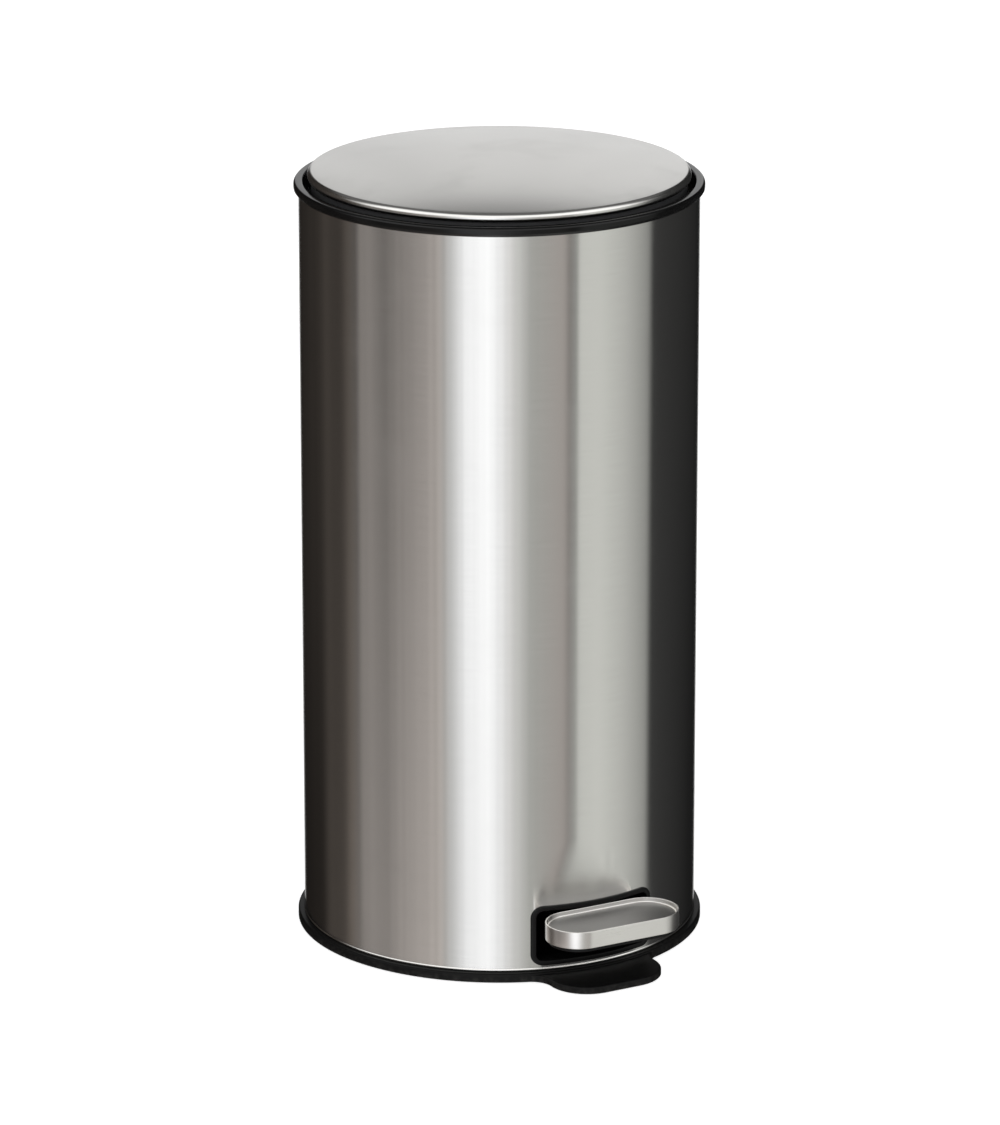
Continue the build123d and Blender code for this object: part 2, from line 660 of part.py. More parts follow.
# ---- bucket -------------------------------------------------------------------------------------
def inner_bucket():
    """Moulded inner bucket, hung by its flange on the collar's seat."""
    floor_t, corner = 2.5, 6.0
    shell = turned(
        (0, BUCKET_LOW),
        (BUCKET_LOW_R - corner, BUCKET_LOW),
        (BUCKET_LOW_R, BUCKET_LOW + corner),
        (BUCKET_TOP_R, FLANGE_LOW),
        (FLANGE_R, FLANGE_LOW),
        (FLANGE_R, FLANGE_HIGH),
        (BUCKET_TOP_R - BUCKET_WALL, FLANGE_HIGH),
        (BUCKET_LOW_R - BUCKET_WALL, BUCKET_LOW + corner + 0.5),
        (BUCKET_LOW_R - corner - 1, BUCKET_LOW + floor_t),
        (0, BUCKET_LOW + floor_t),
    )
    bucket = Pos(0, BUCKET_Y) * shell
    bucket -= block(-150, 150, FLANGE_REAR, 160, FLANGE_LOW - 0.01, FLANGE_HIGH + 1)
    bucket -= axle(-140, 140, BUCKET_Y, BAIL_Z, BAIL_WIRE + RUN)
    nub_low, nub_half = BAIL_Z - 5.3, 5.0
    for angle in (-32, 32):
        nub = block(-nub_half, nub_half, -127.2, -115, nub_low, BAIL_Z - BAIL_WIRE - 0.3)
        bucket += Pos(0, BUCKET_Y) * Rot(0, 0, angle) * nub
    return bucket


def bail_handle():
    """Wire handle lying just inside the bucket's rim, its ends through the wall."""
    bail = Pos(0, BUCKET_Y, BAIL_Z) * (Torus(BAIL_R, BAIL_WIRE) & block(-150, 150, -150, 0, -10, 10))
    for side in (-1, 1):
        x0, x1 = sorted((side * BAIL_R, side * BAIL_END))
        bail += axle(x0, x1, BUCKET_Y, BAIL_Z, BAIL_WIRE)
        bail += Pos(side * BAIL_R, BUCKET_Y, BAIL_Z) * Sphere(BAIL_WIRE)
    return bail


def bail_grip():
    """Plastic sleeve on the middle of the wire handle."""
    grip_r, span = 4.6, 14.0
    half = BAIL_R * sin(radians(span))
    sleeve = Torus(BAIL_R, grip_r) & block(-half, half, -150, -50, -10, 10)
    return Pos(0, BUCKET_Y, BAIL_Z) * (sleeve - Torus(BAIL_R, BAIL_WIRE + 0.02))


# ---- output -------------------------------------------------------------------------------------
os.makedirs("parts", exist_ok=True)
save("body_shell", body_shell())
save("base_pan", base_pan())
save("rubber_feet", rubber_feet())
save("pedal_bezel", pedal_bezel())
save("top_collar", top_collar())
save("collar_bumpers", collar_bumpers())
save("hinge_cover", hinge_cover())
save("hinge_cover_screws", hinge_cover_screws())
save("lid_hinge_pin", lid_hinge_pin())
save("lever_bracket", lever_bracket())
save("lever_pin", lever_pin())
save("bracket_screws", bracket_screws())
save("rod_guide_lower", rod_guide(240.0))
save("rod_guide_upper", rod_guide(430.0))
save("damper_bracket", damper_bracket())
save("damper_cylinder", damper_cylinder())
save("damper_cap", damper_cap())
save("push_rod", push_rod())
save("rod_foot", rod_foot())
save("rod_end", rod_end())
save("damper_piston", damper_piston())
save("pedal_cap", pedal_cap())
save("pedal_carrier", pedal_carrier())
save("pedal_screws", pedal_screws())
save("pedal_lever", pedal_lever())
save("lever_bush", lever_bush())
save("lid_dome", lid_dome())
save("lid_liner", lid_liner())
save("lid_hinge_arm", lid_hinge_arm())
save("crank_pin", crank_pin())
save("lid_screws", lid_screws())
save("inner_bucket", inner_bucket())
save("bail_handle", bail_handle())
save("bail_grip", bail_grip())

print("rod travel", round(ROD_TRAVEL, 3), "pedal travel, degrees", round(PEDAL_TRAVEL, 3))
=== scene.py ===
"""Looks of a round pedal bin: satin steel tube and crowned lid, gloss collar, moulded base, well and pedal.

Every size is in millimetres in the part's own frame, and meshes are written in metres.
"""

import logging
from dataclasses import dataclass
from enum import Enum
from math import atan2, cos, degrees, pi, radians, sin, sqrt, tan
from typing import Callable, Optional, Sequence, Union

import bmesh
import bpy
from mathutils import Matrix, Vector


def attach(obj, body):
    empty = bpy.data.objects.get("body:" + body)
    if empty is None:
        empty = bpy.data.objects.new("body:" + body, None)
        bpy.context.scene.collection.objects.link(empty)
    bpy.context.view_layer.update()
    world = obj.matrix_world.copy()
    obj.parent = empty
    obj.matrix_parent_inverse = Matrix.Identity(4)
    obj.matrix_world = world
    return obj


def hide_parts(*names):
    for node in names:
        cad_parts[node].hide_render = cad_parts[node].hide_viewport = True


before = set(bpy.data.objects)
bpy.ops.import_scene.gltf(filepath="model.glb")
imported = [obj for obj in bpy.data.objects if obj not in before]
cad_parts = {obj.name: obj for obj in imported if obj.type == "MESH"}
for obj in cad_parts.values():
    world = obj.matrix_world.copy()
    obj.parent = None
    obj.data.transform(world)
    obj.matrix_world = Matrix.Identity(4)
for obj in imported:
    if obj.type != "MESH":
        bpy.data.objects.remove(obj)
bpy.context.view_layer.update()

MM = 0.001
STEPS = 256

log = logging.getLogger("pedal_bin")

Colour = tuple[float, float, float]
Point = tuple[float, float]
Corner = tuple[float, float, float]
Loop = list[Vector]
Sockets = dict[Union[int, str], object]


# ---- node wiring --------------------------------------------------------------------------------
class Wire:
    """One output socket of a node tree; arithmetic on it adds Math nodes."""

    def __init__(self, sheet: "NodeSheet", socket: bpy.types.NodeSocket) -> None:
        """Remembers the tree and the socket."""
        self.sheet = sheet
        self.socket = socket

    def math(self, operation: str, *operands: "Number") -> "Wire":
        """Adds one Math node.

        Args:
            operation: the node's operation.
            operands: its inputs, in order.

        Returns:
            The node's value.
        """
        return self.sheet.node("ShaderNodeMath", {"operation": operation}, dict(enumerate(operands)))

    def __add__(self, other: "Number") -> "Wire":
        """Sum."""
        return self.math("ADD", self, other)

    def __radd__(self, other: "Number") -> "Wire":
        """Sum with a number on the left."""
        return self.math("ADD", other, self)

    def __sub__(self, other: "Number") -> "Wire":
        """Difference."""
        return self.math("SUBTRACT", self, other)

    def __rsub__(self, other: "Number") -> "Wire":
        """Difference with a number on the left."""
        return self.math("SUBTRACT", other, self)

    def __mul__(self, other: "Number") -> "Wire":
        """Product."""
        return self.math("MULTIPLY", self, other)

    def __rmul__(self, other: "Number") -> "Wire":
        """Product with a number on the left."""
        return self.math("MULTIPLY", other, self)

    def __truediv__(self, other: "Number") -> "Wire":
        """Quotient."""
        return self.math("DIVIDE", self, other)

    def __pow__(self, other: "Number") -> "Wire":
        """Power."""
        return self.math("POWER", self, other)

    def ramp(self, low: float, high: float) -> "Wire":
        """Smooth step of this value.

        Args:
            low: where the step starts, at 0.
            high: where it ends, at 1; below low for a falling step.

        Returns:
            The step, from 0 to 1.
        """
        settings = {"interpolation_type": "SMOOTHSTEP"}
        return self.sheet.node("ShaderNodeMapRange", settings, {0: self, 1: low, 2: high, 3: 0.0, 4: 1.0})


Number = Union[float, Wire]


class NodeSheet:
    """A node tree being wired."""

    def __init__(self, tree: bpy.types.NodeTree) -> None:
        """Starts from an empty tree."""
        self.tree = tree
        tree.nodes.clear()

    def node(
        self,
        kind: str,
        settings: Optional[dict[str, object]] = None,
        sockets: Optional[Sockets] = None,
        output: Union[int, str] = 0,
    ) -> Wire:
        """Adds a node.

        Args:
            kind: the node's type.
            settings: its own settings, set first; "stops" are a ramp's (position, colour) pairs.
            sockets: values or wires for its inputs.
            output: the output that is handed back.

        Returns:
            That output.
        """
        made = self.tree.nodes.new(kind)
        for key, value in (settings or {}).items():
            if key == "stops":
                self._set_stops(made.color_ramp, value)
            else:
                setattr(made, key, value)
        for key, value in (sockets or {}).items():
            if isinstance(value, Wire):
                self.tree.links.new(value.socket, made.inputs[key])
            else:
                made.inputs[key].default_value = value
        return Wire(self, made.outputs[output] if len(made.outputs) else None)

    @staticmethod
    def _set_stops(band: bpy.types.ColorRamp, stops: Sequence[tuple[float, Colour]]) -> None:
        """Writes a ramp's stops.

        Args:
            band: the ramp.
            stops: (position, colour) pairs in rising order.
        """
        while len(band.elements) < len(stops):
            band.elements.new(1.0)
        for element, (position, colour) in zip(band.elements, stops):
            element.position = position
            element.color = (*colour, 1.0)

    def split(self, vector: Wire) -> tuple[Wire, Wire, Wire]:
        """The three parts of a vector."""
        parts = self.node("ShaderNodeSeparateXYZ", None, {0: vector}).socket.node
        return Wire(self, parts.outputs[0]), Wire(self, parts.outputs[1]), Wire(self, parts.outputs[2])

    def join(self, x: Number, y: Number, z: Number) -> Wire:
        """A vector of three values."""
        return self.node("ShaderNodeCombineXYZ", None, {0: x, 1: y, 2: z})

    def blend(self, factor: Number, first: Union[Colour, Wire], second: Union[Colour, Wire]) -> Wire:
        """Mixes two colours.

        Args:
            factor: share of the second.
            first: colour at factor 0.
            second: colour at factor 1.

        Returns:
            The mixed colour.
        """
        ends = [c if isinstance(c, Wire) else (*c, 1.0) for c in (first, second)]
        return self.node("ShaderNodeMix", {"data_type": "RGBA"}, {0: factor, 6: ends[0], 7: ends[1]}, 2)

    def noise(self, vector: Wire, scale: float, detail: float = 3.0, roughness: float = 0.5) -> Wire:
        """Fractal noise.

        Args:
            vector: where it is read.
            scale: features per metre, before the vector's own stretch.
            detail: octaves.
            roughness: weight of the finer octaves.

        Returns:
            Noise about 0.5.
        """
        sockets = {"Vector": vector, "Scale": scale, "Detail": detail, "Roughness": roughness}
        return self.node("ShaderNodeTexNoise", None, sockets)

    def cells(self, vector: Wire, scale: float) -> Wire:
        """Distance to the nearest cell centre of a Voronoi pattern."""
        return self.node("ShaderNodeTexVoronoi", None, {"Vector": vector, "Scale": scale})

    def bump(self, height: Wire) -> Wire:
        """Normal of a surface that carries this height, in metres."""
        return self.node("ShaderNodeBump", None, {"Strength": 1.0, "Distance": 1.0, "Height": height})

    def place(self) -> Wire:
        """Position in the part's frame, in metres."""
        return self.node("ShaderNodeTexCoord", None, None, "Object")


# ---- finishes -----------------------------------------------------------------------------------
class Grain(Enum):
    """Which way a steel surface was brushed."""

    AROUND = "round the can's axis, on an upright wall"
    RINGS = "in rings about the can's axis, on a lid"
    ACROSS = "from side to side"
    UP = "up and down"


class Finish:
    """A material made once and shared by its pieces."""

    name: str = ""

    def wire(self, sheet: NodeSheet) -> Sockets:
        """The Principled shader's sockets for this finish."""
        raise NotImplementedError

    def material(self) -> bpy.types.Material:
        """Makes the material, or finds it when it is already made.

        Returns:
            The material.
        """
        found = bpy.data.materials.get(self.name)
        if found is not None:
            return found
        made = bpy.data.materials.new(self.name)
        made.use_nodes = True
        sheet = NodeSheet(made.node_tree)
        shader = sheet.node("ShaderNodeBsdfPrincipled", None, self.wire(sheet))
        sheet.node("ShaderNodeOutputMaterial", None, {"Surface": shader})
        return made


@dataclass(frozen=True)
class Dimple:
    """Shallow upright hollow pressed into the tube's front: its middle, half sizes and depth."""

    across: float
    up: float
    half_width: float
    half_height: float
    depth: float


@dataclass(frozen=True)
class Steel(Finish):
    """Stainless sheet: brushed grain, slow waviness of the sheet and faint handling marks."""

    name: str
    tint: Colour = (0.80, 0.79, 0.765)
    roughness: float = 0.19
    grain: Grain = Grain.AROUND
    grain_height: float = 0.0004
    wave_height: float = 0.10
    smudge: float = 0.05
    anisotropy: float = 0.0
    dimples: tuple[Dimple, ...] = ()

    def _along(self, sheet: NodeSheet, x: Wire, y: Wire, z: Wire) -> tuple[Wire, Wire]:
        """Coordinates that follow the brushing.

        Args:
            sheet: the tree.
            x: position across.
            y: position front to back.
            z: height.

        Returns:
            The stretched grain position, and a slow position for the waviness.
        """
        turn = x.math("ARCTAN2", x, 0.0 - y)
        radius = ((x * x) + (y * y)) ** 0.5
        fine, coarse = 2600.0, 34.0
        if self.grain is Grain.AROUND:
            brushed = sheet.join(turn * (0.15 * coarse), z * fine, 0.0)
            return brushed, sheet.join(turn * 1.5, z * 2.4, radius * 4.0)
        if self.grain is Grain.RINGS:
            brushed = sheet.join(radius * fine, turn * (0.1 * coarse), 0.0)
            return brushed, sheet.join(x * 9.0, y * 9.0, z * 9.0)
        if self.grain is Grain.UP:
            return sheet.join(x * fine, y * fine, z * coarse), sheet.join(x * 12.0, y * 12.0, z * 6.0)
        return sheet.join(x * coarse, y * fine, z * fine), sheet.join(x * 16.0, y * 16.0, z * 16.0)

    def wire(self, sheet: NodeSheet) -> Sockets:
        """Wires the grain, marks and waviness.

        Args:
            sheet: the tree.

        Returns:
            The shader's sockets.
        """
        place = sheet.place()
        x, y, z = sheet.split(place)
        fine, slow = self._along(sheet, x, y, z)
        grain = sheet.noise(fine, 1.0, 4.0, 0.6)
        marks = sheet.noise(place, 14.0, 5.0, 0.62).ramp(0.46, 0.72)
        cloud = sheet.noise(slow, 1.0, 2.0, 0.4)
        dark: Colour = tuple(0.90 * c for c in self.tint)
        pale: Colour = tuple(min(1.0, 1.05 * c) for c in self.tint)
        colour = sheet.blend(grain, dark, pale)
        colour = sheet.blend(marks * 0.16, colour, dark)
        height = grain * (self.grain_height * MM) + cloud * (self.wave_height * MM)
        for dimple in self.dimples:
            sideways = (x - dimple.across * MM) / (dimple.half_width * MM)
            upwards = (z - dimple.up * MM) / (dimple.half_height * MM)
            away = (sideways * sideways + upwards * upwards) ** 0.5
            height = height - away.ramp(1.0, 0.0) * y.ramp(0.0, -0.05) * (dimple.depth * MM)
        rough = self.roughness + (grain - 0.5) * 0.06 + marks * self.smudge
        across_grain = 0.25
        return {
            "Base Color": colour,
            "Metallic": 1.0,
            "Roughness": rough,
            "Anisotropic": self.anisotropy,
            "Anisotropic Rotation": across_grain,
            "Normal": sheet.bump(height),
        }


@dataclass(frozen=True)
class Plastic(Finish):
    """Moulded plastic: spark-eroded grain, slight sink marks, scuffs, and dust near the floor."""

    name: str
    colour: Colour = (0.012, 0.012, 0.013)
    scuffed: Colour = (0.05, 0.05, 0.05)
    roughness: float = 0.42
    grain_scale: float = 1400.0
    grain_height: float = 0.006
    scuff: float = 0.25
    coat: float = 0.0
    specular: float = 0.5
    dust_below: float = 0.0

    def wire(self, sheet: NodeSheet) -> Sockets:
        """Wires the moulded grain, scuffs and dust.

        Args:
            sheet: the tree.

        Returns:
            The shader's sockets.
        """
        place = sheet.place()
        x, y, z = sheet.split(place)
        grain = sheet.noise(place, self.grain_scale, 2.0, 0.5)
        sink = sheet.noise(place, 22.0, 2.0, 0.4)
        streaks = sheet.noise(sheet.join(x * 55.0, y * 55.0, z * 700.0), 1.0, 4.0, 0.7).ramp(0.60, 0.78)
        patches = sheet.noise(place, 30.0, 4.0, 0.6).ramp(0.48, 0.70)
        worn = streaks * patches * self.scuff
        colour = sheet.blend(worn, self.colour, self.scuffed)
        rough = self.roughness + (sink - 0.5) * 0.08 + worn * 0.18
        if self.dust_below > 0.0:
            dust = z.ramp(self.dust_below * MM, 0.0) * sheet.noise(place, 260.0, 4.0, 0.6).ramp(0.42, 0.66)
            colour = sheet.blend(dust * 0.05, colour, (0.32, 0.30, 0.27))
            rough = rough + dust * 0.2
        height = grain * (self.grain_height * MM) + sink * (0.05 * MM) - worn * (0.004 * MM)
        sockets: Sockets = {
            "Base Color": colour,
            "Roughness": rough,
            "Normal": sheet.bump(height),
            "IOR": 1.49,
            "Specular IOR Level": self.specular,
        }
        if self.coat > 0.0:
            sockets["Coat Weight"] = self.coat
            sockets["Coat Roughness"] = 0.06
        return sockets


@dataclass(frozen=True)
class Rubber(Finish):
    """Soft black rubber: matt, finely pitted, greyed by wear."""

    name: str
    colour: Colour = (0.018, 0.018, 0.018)

    def wire(self, sheet: NodeSheet) -> Sockets:
        """Wires pits and greying.

        Args:
            sheet: the tree.

        Returns:
            The shader's sockets.
        """
        place = sheet.place()
        pits = sheet.cells(place, 1500.0)
        grey = sheet.noise(place, 120.0, 4.0, 0.6)
        colour = sheet.blend(grey.ramp(0.45, 0.75) * 0.5, self.colour, (0.07, 0.068, 0.064))
        height = pits * (0.012 * MM) + grey * (0.02 * MM)
        return {"Base Color": colour, "Roughness": 0.72 + (grey - 0.5) * 0.2, "Normal": sheet.bump(height)}


@dataclass(frozen=True)
class Zinc(Finish):
    """Zinc-plated pressing: soft spangle, drawing lines and dull spots."""

    name: str
    tint: Colour = (0.62, 0.63, 0.64)
    roughness: float = 0.33

    def wire(self, sheet: NodeSheet) -> Sockets:
        """Wires spangle and dull spots.

        Args:
            sheet: the tree.

        Returns:
            The shader's sockets.
        """
        place = sheet.place()
        x, y, z = sheet.split(place)
        spangle = sheet.cells(place, 240.0)
        lines = sheet.noise(sheet.join(x * 1500.0, y * 90.0, z * 1500.0), 1.0, 3.0, 0.6)
        spots = sheet.noise(place, 70.0, 5.0, 0.65).ramp(0.5, 0.75)
        dull: Colour = tuple(0.72 * c for c in self.tint)
        colour = sheet.blend(spangle * 0.6, self.tint, dull)
        colour = sheet.blend(spots * 0.5, colour, (0.40, 0.41, 0.40))
        rough = self.roughness + spangle * 0.10 + spots * 0.18 + (lines - 0.5) * 0.08
        height = lines * (0.003 * MM) + spangle * (0.01 * MM)
        return {"Base Color": colour, "Metallic": 1.0, "Roughness": rough, "Normal": sheet.bump(height)}


@dataclass(frozen=True)
class Paper(Finish):
    """Pale studio paper with a fine tooth, which glows a little so that it stays white."""

    name: str
    glow: float = 0.76

    def wire(self, sheet: NodeSheet) -> Sockets:
        """Wires the tooth.

        Args:
            sheet: the tree.

        Returns:
            The shader's sockets.
        """
        tooth = sheet.noise(sheet.place(), 900.0, 2.0, 0.5)
        return {
            "Base Color": sheet.blend(tooth, (0.80, 0.80, 0.80), (0.84, 0.84, 0.84)),
            "Roughness": 0.9,
            "Normal": sheet.bump(tooth * 1e-5),
            "Specular IOR Level": 0.0,
            "Emission Color": (1.0, 1.0, 1.0, 1.0),
            "Emission Strength": self.glow,
        }


STEEL_BODY = Steel(
    "satin_steel_tube",
    roughness=0.15,
    anisotropy=0.95,
    smudge=0.03,
    dimples=(Dimple(-16.0, 66.0, 30.0, 44.0, 1.3), Dimple(12.0, 84.0, 5.0, 18.0, 0.12)),
)
STEEL_LID = Steel("satin_steel_lid", roughness=0.2, grain=Grain.RINGS, wave_height=0.05)
STEEL_PEDAL = Steel("brushed_steel_pedal", (0.91, 0.89, 0.86), 0.28, Grain.ACROSS, wave_height=0.02)
STEEL_TREAD = Steel("satin_steel_tread", (0.30, 0.296, 0.29), 0.42, Grain.ACROSS, wave_height=0.01)
STEEL_BRIGHT = Steel("drawn_bright_steel", (0.74, 0.74, 0.73), 0.16, Grain.UP, wave_height=0.0)
BLACK_GLOSS = Plastic(
    "gloss_black_collar",
    (0.004, 0.004, 0.004),
    (0.02, 0.02, 0.02),
    roughness=0.13,
    grain_height=0.0006,
    specular=0.3,
)
BLACK_SATIN = Plastic(
    "satin_black_moulding",
    (0.005, 0.005, 0.005),
    (0.03, 0.03, 0.03),
    roughness=0.42,
    grain_height=0.003,
    specular=0.12,
    dust_below=9.0,
)
BLACK_WELL = Plastic(
    "grained_black_well", (0.004, 0.004, 0.004), (0.02, 0.02, 0.02), grain_height=0.005, specular=0.22
)
BLACK_MATT = Plastic("black_hardware_plastic", (0.018, 0.018, 0.019), roughness=0.5)
GREY_LINER = Plastic("grey_liner_plastic", (0.055, 0.056, 0.058), (0.14, 0.14, 0.14), 0.45)
GREY_NATURAL = Plastic("pale_acetal", (0.50, 0.50, 0.47), (0.62, 0.61, 0.58), 0.38, scuff=0.4)
BUCKET_GREY = Plastic("bucket_grey", (0.10, 0.105, 0.11), (0.22, 0.22, 0.22), 0.42, scuff=0.5)
RUBBER = Rubber("soft_black_rubber")
ZINC = Zinc("zinc_pressing")
PAPER = Paper("studio_paper")


# ---- mesh tools ---------------------------------------------------------------------------------
def rounded(corners: Sequence[Corner], steps: int = 6) -> list[Point]:
    """Closed outline with its corners rounded.

    Args:
        corners: (u, v, radius) of each corner in order; radius 0 keeps it sharp.
        steps: spans of each rounded corner.

    Returns:
        The outline's points.
    """
    path: list[Point] = []
    for index, (u, v, radius) in enumerate(corners):
        here = Vector((u, v))
        if radius <= 0.0:
            path.append((u, v))
            continue
        before = (Vector(corners[index - 1][:2]) - here).normalized()
        after = (Vector(corners[(index + 1) % len(corners)][:2]) - here).normalized()
        half = before.angle(after) / 2.0
        centre = here + (before + after).normalized() * (radius / sin(half))
        start = here + before * (radius / tan(half)) - centre
        end = here + after * (radius / tan(half)) - centre
        sweep = pi - 2.0 * half
        for step in range(steps + 1):
            share = step / steps
            arm = (start * sin((1.0 - share) * sweep) + end * sin(share * sweep)) / sin(sweep)
            path.append((centre.x + arm.x, centre.y + arm.y))
    return path


def arc(centre: Point, radius: float, start: float, end: float, steps: int) -> list[Point]:
    """Points of an arc.

    Args:
        centre: its centre.
        radius: its radius.
        start: first angle in degrees.
        end: last angle in degrees.
        steps: spans.

    Returns:
        The points, both ends included.
    """
    angles = [radians(start + (end - start) * i / steps) for i in range(steps + 1)]
    return [(centre[0] + radius * cos(a), centre[1] + radius * sin(a)) for a in angles]


def level(outline: Sequence[Point], height: float) -> Loop:
    """A plan outline laid at a height."""
    return [Vector((x, y, height)) for x, y in outline]


def circle(radius: float, height: float, centre: Point = (0.0, 0.0), steps: int = STEPS) -> Loop:
    """A level circle at a height."""
    turns = [2.0 * pi * k / steps for k in range(steps)]
    return [Vector((centre[0] + radius * cos(t), centre[1] + radius * sin(t), height)) for t in turns]


def eased(radius: float, leans: Sequence[float]) -> list[Point]:
    """How far a rounded edge stands back from its two faces.

    Args:
        radius: the edge's radius.
        leans: places round it in degrees, from 0 on the upright face to 90 on the level one.

    Returns:
        (back from the upright face, down from the level one) pairs.
    """
    angles = [radians(lean) for lean in leans]
    return [(radius * (1.0 - cos(a)), radius * (1.0 - sin(a))) for a in angles]


def shade(mesh: bpy.types.Mesh, crease: float) -> None:
    """Smooths a mesh, but keeps edges sharper than the crease, in degrees, hard."""
    mesh.shade_smooth()
    mesh.set_sharp_from_angle(angle=radians(crease))


class Skin:
    """A mesh being made in millimetres, from closed rings of points joined by quads."""

    def __init__(self) -> None:
        """Starts empty."""
        self.points: list[Vector] = []
        self.faces: list[tuple[int, ...]] = []

    def rings(self, loops: Sequence[Loop], wrap: bool = False, caps: bool = False) -> "Skin":
        """Joins closed loops of equal length, each to the next.

        Args:
            loops: the loops in order.
            wrap: also join the last to the first.
            caps: fill the first and the last.

        Returns:
            This skin.
        """
        start, count = len(self.points), len(loops[0])
        for loop in loops:
            self.points.extend(loop)
        for i in range(len(loops) if wrap else len(loops) - 1):
            a, b = start + i * count, start + (i + 1) % len(loops) * count
            for k in range(count):
                m = (k + 1) % count
                self.faces.append((a + k, a + m, b + m, b + k))
        if caps:
            last = start + (len(loops) - 1) * count
            self.faces.append(tuple(range(start, start + count)))
            self.faces.append(tuple(reversed(range(last, last + count))))
        return self

    def turned(self, profile: Sequence[Point], centre: Point = (0.0, 0.0), steps: int = STEPS) -> "Skin":
        """Spins a closed (radius, height) profile round an upright axis.

        Args:
            profile: the profile's points.
            centre: where the axis stands.
            steps: columns round the axis.

        Returns:
            This skin.
        """
        return self.rings([circle(r, z, centre, steps) for r, z in profile], wrap=True)

    def slab(self, outline: Sequence[Point], low: float, high: float) -> "Skin":
        """A plan outline extruded between two heights."""
        return self.rings([level(outline, low), level(outline, high)], caps=True)

    def box(self, low: Corner, high: Corner, edge: float = 0.0) -> "Skin":
        """A block with its upright edges and top rounded.

        Args:
            low: lowest corner.
            high: highest corner.
            edge: rounding radius.

        Returns:
            This skin.
        """

        def outline(inset: float) -> list[Point]:
            """The block's plan, smaller by inset."""
            x0, y0, x1, y1 = low[0] + inset, low[1] + inset, high[0] - inset, high[1] - inset
            keep = max(edge - inset, 0.01) if edge > 0.0 else 0.0
            return rounded([(x0, y0, keep), (x1, y0, keep), (x1, y1, keep), (x0, y1, keep)], 4)

        if edge <= 0.0:
            return self.slab(outline(0.0), low[2], high[2])
        loops = [level(outline(0.0), low[2]), level(outline(0.0), high[2] - edge)]
        for back, down in eased(edge, (22.5, 45.0, 67.5, 90.0)):
            loops.append(level(outline(back * 0.99), high[2] - down))
        return self.rings(loops, caps=True)

    def made(self, name: str, crease: float = 35.0) -> bpy.types.Object:
        """Turns the skin into an object.

        Args:
            name: the piece's name.
            crease: edges sharper than this many degrees stay hard.

        Returns:
            The object, linked to the scene.
        """
        mesh = bpy.data.meshes.new(name)
        mesh.from_pydata([tuple(p * MM) for p in self.points], [], self.faces)
        work = bmesh.new()
        work.from_mesh(mesh)
        bmesh.ops.remove_doubles(work, verts=work.verts, dist=1e-7)
        bmesh.ops.dissolve_degenerate(work, edges=work.edges, dist=1e-8)
        bmesh.ops.recalc_face_normals(work, faces=work.faces)
        work.to_mesh(mesh)
        work.free()
        shade(mesh, crease)
        piece = bpy.data.objects.new(name, mesh)
        bpy.context.scene.collection.objects.link(piece)
        return piece


def cut(piece: bpy.types.Object, cutters: Sequence[Skin], crease: float = 35.0) -> None:
    """Takes solids out of a piece.

    Args:
        piece: what is cut.
        cutters: the solids that are taken away.
        crease: edges sharper than this many degrees stay hard.
    """
    tools = [cutter.made(f"cutter_{i}") for i, cutter in enumerate(cutters)]
    for tool in tools:
        modifier = piece.modifiers.new("cut", "BOOLEAN")
        modifier.operation = "DIFFERENCE"
        modifier.solver = "EXACT"
        modifier.object = tool
    bpy.context.view_layer.update()
    graph = bpy.context.evaluated_depsgraph_get()
    mesh = bpy.data.meshes.new_from_object(piece.evaluated_get(graph))
    piece.modifiers.clear()
    piece.data = mesh
    for tool in tools:
        bpy.data.objects.remove(tool)
    shade(mesh, crease)


def true_normals(piece: bpy.types.Object, normal_at: Callable[[Vector, Vector], Optional[Vector]]) -> None:
    """Gives the corners of a piece the exact normals of the surface they lie on.

    Args:
        piece: the piece.
        normal_at: gives the normal for a point and its face's normal, or None to keep the shaded one.
    """
    mesh = piece.data
    shaded = [tuple(corner.vector) for corner in mesh.corner_normals]
    for face in mesh.polygons:
        for corner in face.loop_indices:
            exact = normal_at(mesh.vertices[mesh.loops[corner].vertex_index].co, face.normal)
            if exact is not None:
                shaded[corner] = tuple(exact)
    mesh.normals_split_custom_set(shaded)


def upright(point: Vector, facing: Vector) -> Optional[Vector]:
    """Exact normal of an upright round wall about the can's axis."""
    radial = Vector((point.x, point.y, 0.0)).normalized()
    lean = radial.dot(facing)
    if abs(lean) < 0.995:
        return None
    return radial if lean > 0.0 else -radial


class Assembly:
    """Pieces of one sub-assembly, which ride on one body."""

    body: str = "casing"
    dressing: tuple[tuple[Finish, tuple[str, ...]], ...] = ()

    def fit(self, piece: bpy.types.Object, finish: Finish, slot: str, *stands_for: str) -> None:
        """Dresses a piece and fixes it to its body.

        Args:
            piece: the piece.
            finish: its material.
            slot: the record's material slot; not used.
            stands_for: the frame's nodes that it replaces.
        """
        piece.data.materials.clear()
        piece.data.materials.append(finish.material())
        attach(piece, self.body)
        if stands_for:
            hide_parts(*stands_for)
        log.info("%s on %s, %d faces, %s", piece.name, self.body, len(piece.data.polygons), finish.name)

    def dress_all(self) -> None:
        """Gives the frame's own pieces on this body their finishes."""
        for finish, nodes in self.dressing:
            for name in nodes:
                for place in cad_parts[name].material_slots:
                    place.link = "OBJECT"
                    place.material = finish.material()
                log.info("%s dressed in %s", name, finish.name)


